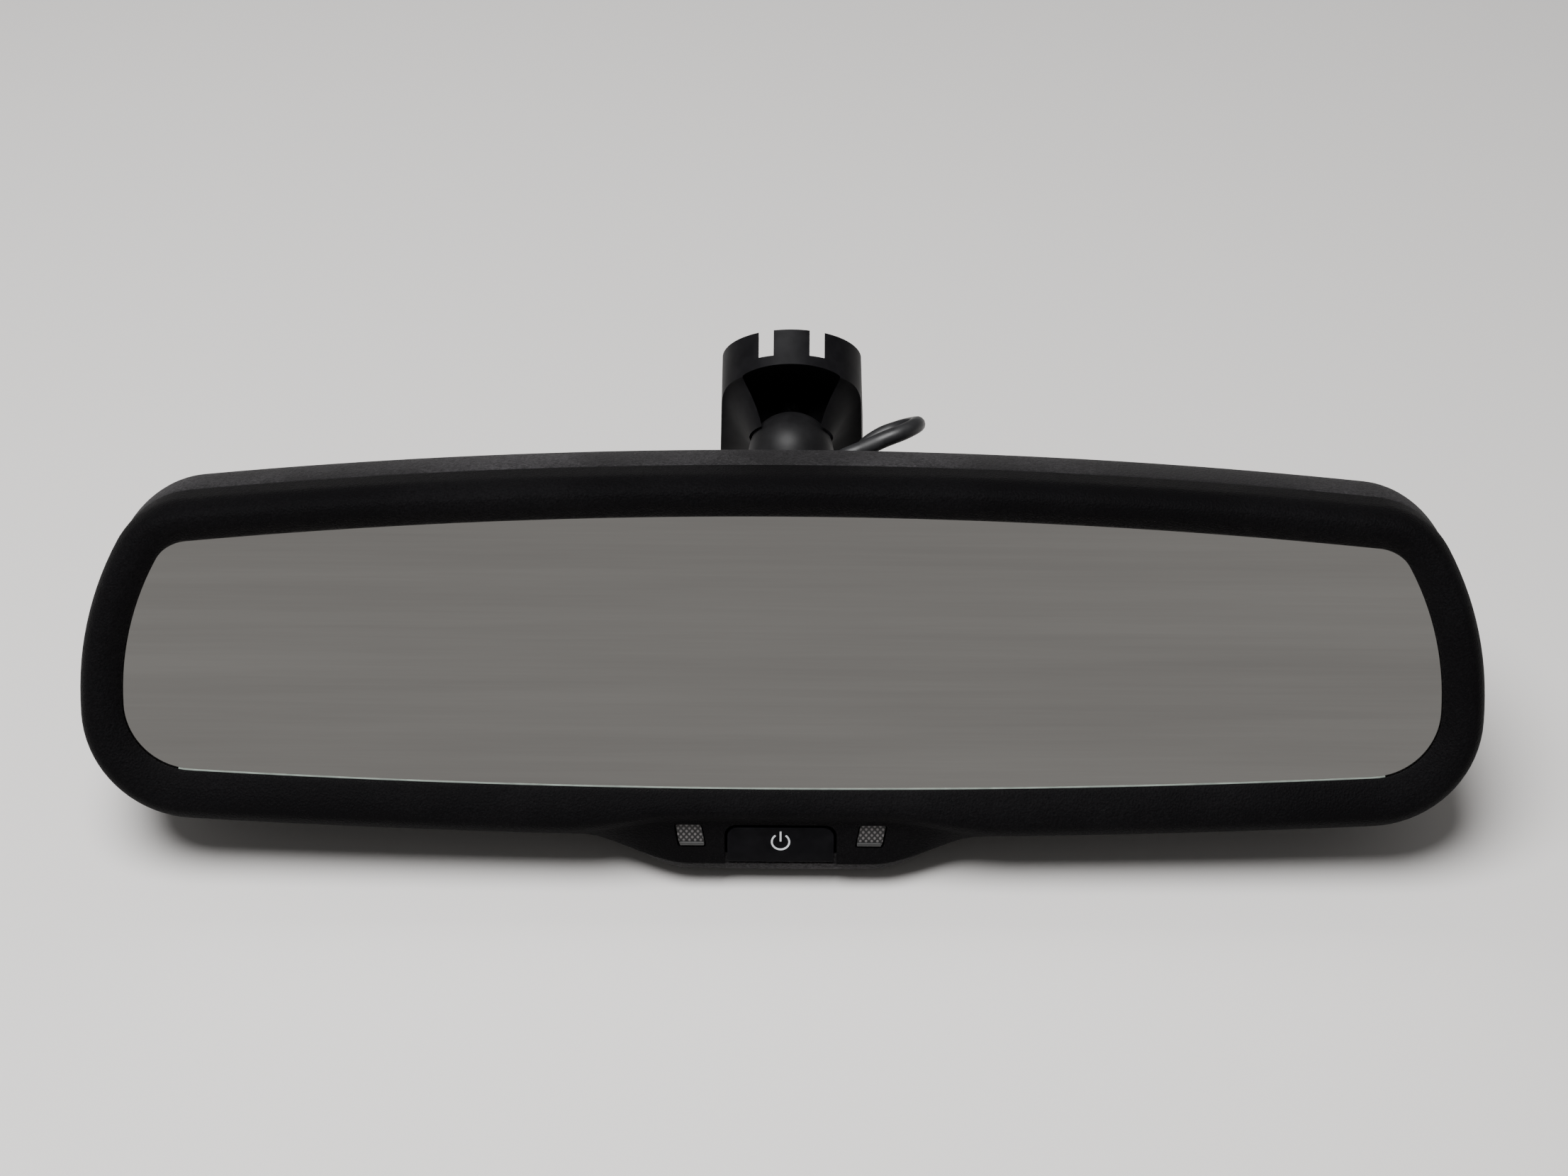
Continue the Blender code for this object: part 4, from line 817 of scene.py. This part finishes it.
def cable_route():
    """The run from the boot to the table, four turns of coil, and the end in the plug."""
    loop = ((9.7, 34.8, 28.1), (11.6, 35.9, 29.15), (13.9, 36.2, 30.1), (16.6, 36.0, 31.3),
            (19.4, 36.0, 32.6), (23.2, 37.2, 33.9), (25.6, 40.6, 34.5), (25.4, 44.8, 33.8),
            (22.4, 47.9, 32.4), (18.6, 48.0, 30.8), (15.2, 46.4, 28.2), (13.6, 44.6, 24.2),
            (14.2, 43.4, 19.6), (17.4, 43.2, 15.2), (21.8, 43.8, 11.6))
    run = [HEAD @ (EXIT + EXIT_WAY * d * MM) for d in (0, 2.2, 4.5)]
    run += [HEAD @ Vector((x * MM, y * MM, z * MM)) for x, y, z in loop]
    down = ((25.8, 2.6, 29.6), (30, 9.3, 21.5), (35, 16, 12.8), (41.5, 23.5, 5.8), (50, 30.5, 2.9),
            (63.5, 34.6, 2.5))
    run += [Vector((x * MM, y * MM, z * MM)) for x, y, z in down]
    turns, steps = 4, 16
    coil = []
    for k in range(turns * steps + 1):
        t = k / steps
        inward = smoothstep((t - 0.75) / 0.5) - smoothstep((t - 2.75) / 0.5)
        lift = smoothstep((t - 1.75) / 0.5)
        radius = mix(18.6, 15.3, inward) * MM
        angle = math.pi / 2 - 2 * math.pi * t
        height = mix(2.5, 5.75, lift) * MM
        coil.append(COIL_CENTRE + Vector((radius * math.cos(angle), radius * math.sin(angle), height)))
    x, y = COIL_CENTRE.x, COIL_CENTRE.y + 18.6 * MM
    tail = [Vector((x + dx * MM, y, z * MM)) for dx, z in ((6, 5.7), (11, 4.8), (16, 4.0), (21, 3.8))]
    return run, coil, tail


def make_cable(mats):
    run, coil, tail = cable_route()
    path = [*run, *coil, *tail]
    curve = bpy.data.curves.new("cable", "CURVE")
    curve.dimensions = "3D"
    curve.bevel_depth = CABLE / 2
    curve.bevel_resolution = 5
    curve.use_fill_caps = True
    curve.resolution_u = 6
    line = curve.splines.new("BEZIER")
    line.bezier_points.add(len(path) - 1)
    for point, place in zip(line.bezier_points, path):
        point.co = place
        point.handle_left_type = "AUTO"
        point.handle_right_type = "AUTO"
    curve.materials.append(mats["cable"])
    cable = bpy.data.objects.new("cable", curve)
    bpy.context.scene.collection.objects.link(cable)
    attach(cable, "mirror_head")
    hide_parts("cable_run", "cable_coil", "cable_tail")
    tie, plug = make_tie(mats), make_plug(mats)


def make_tie(mats):
    """A flat strap round the turns."""
    inner, outer, low, high = 13.2 * MM, 20.8 * MM, 0.6 * MM, 7.5 * MM
    band = 0.45 * MM
    place = Matrix.Translation(COIL_CENTRE)
    middle, width, height = (inner + outer) / 2, outer - inner, high - low
    hole = [(middle + x, z + (low + high) / 2) for x, z in rounded(width, height, 2.0 * MM)]
    around = rounded(width + 2 * band, height + 2 * band, 2.4 * MM)
    skin = [(middle + x, z + (low + high) / 2) for x, z in around]
    strap = piece("tie_strap", plate(skin, -2.2 * MM, 2.2 * MM), mats["tie"], "mirror_head", place,
                  ("cable_tie",))
    cut(strap, plate(hole, -4 * MM, 4 * MM), place)
    return strap


def make_plug(mats):
    """The harness plug: a shrouded housing with a latch and two guide ribs."""
    place = Matrix.Translation((COIL_CENTRE.x + 20 * MM, COIL_CENTRE.y + 18.5 * MM, 0))
    shell = block((0, -5.5 * MM, 0.1 * MM), (15 * MM, 5.5 * MM, 8.6 * MM))
    plug = piece("plug_shell", shell, mats["connector"], "mirror_head", place,
                 ("harness_plug",))
    cut(plug, block((7 * MM, -4.2 * MM, 1.5 * MM), (17 * MM, 4.2 * MM, 7.2 * MM)), place)
    cut(plug, block((2 * MM, -1.8 * MM, 8 * MM), (13 * MM, 1.8 * MM, 9.8 * MM)), place, "UNION")
    cut(plug, block((4 * MM, -1.2 * MM, 9.0 * MM), (9 * MM, 1.2 * MM, 12 * MM)), place)
    for side in (-1, 1):
        y, half = side * 5.3 * MM, 0.3 * MM
        rib = block((3 * MM, y - half, 3 * MM), (15 * MM, y + half, 5 * MM))
        cut(plug, rib, place, "UNION")
    soften(plug, 0.25 * MM, 2)
    return plug


# ---------------------------------------------------------------- studio


def make_studio():
    far = FLOOR_HALF
    floor_mesh = mesh_of([(-far, -far, 0), (far, -far, 0), (far, far, 0), (-far, far, 0)], [(0, 1, 2, 3)])
    s = Shader("studio_floor", (0.74, 0.722, 0.708), 0.8)
    floor_mesh.materials.append(s.mat)
    floor = bpy.data.objects.new("studio_floor", floor_mesh)
    bpy.context.scene.collection.objects.link(floor)
    world = bpy.data.worlds.new("studio")
    bpy.context.scene.world = world
    world.use_nodes = True
    sky = world.node_tree.nodes["Background"]
    sky.inputs["Color"].default_value = (1.0, 0.985, 0.965, 1)
    sky.inputs["Strength"].default_value = SKY_STRENGTH
    area_light("key", KEY_PLACE, KEY_TARGET, KEY_SIZE, KEY_POWER)


def area_light(name, place, target, size, power):
    data = bpy.data.lights.new(name, "AREA")
    data.shape = "DISK"
    data.size = size
    data.energy = power
    light = bpy.data.objects.new(name, data)
    bpy.context.scene.collection.objects.link(light)
    light.location = place
    light.rotation_euler = (Vector(target) - Vector(place)).to_track_quat("-Z", "Y").to_euler()


def make_camera():
    """40 degrees above the horizon, just right of the middle, with a very slight roll."""
    data = bpy.data.cameras.new("camera")
    data.sensor_width = 36
    data.lens = CAMERA_LENS
    data.clip_start = 0.01
    camera = bpy.data.objects.new("camera", data)
    bpy.context.scene.collection.objects.link(camera)
    camera.location = CAMERA_PLACE
    turn = Matrix.Rotation(CAMERA_TURN, 3, "Z") @ Matrix.Rotation(CAMERA_TILT, 3, "X")
    camera.rotation_euler = (turn @ Matrix.Rotation(CAMERA_ROLL, 3, "Z")).to_euler()
    bpy.context.scene.camera = camera


def main():
    mats = make_materials()
    make_camera()
    make_studio()
    dress_cad_nodes(mats)
    make_cable(mats)
    make_bezel(mats)
    make_housing(mats)
    make_glass(mats)
    make_button(mats)
    make_windows(mats)
    make_back_details(mats)
    make_foot(mats)


main()
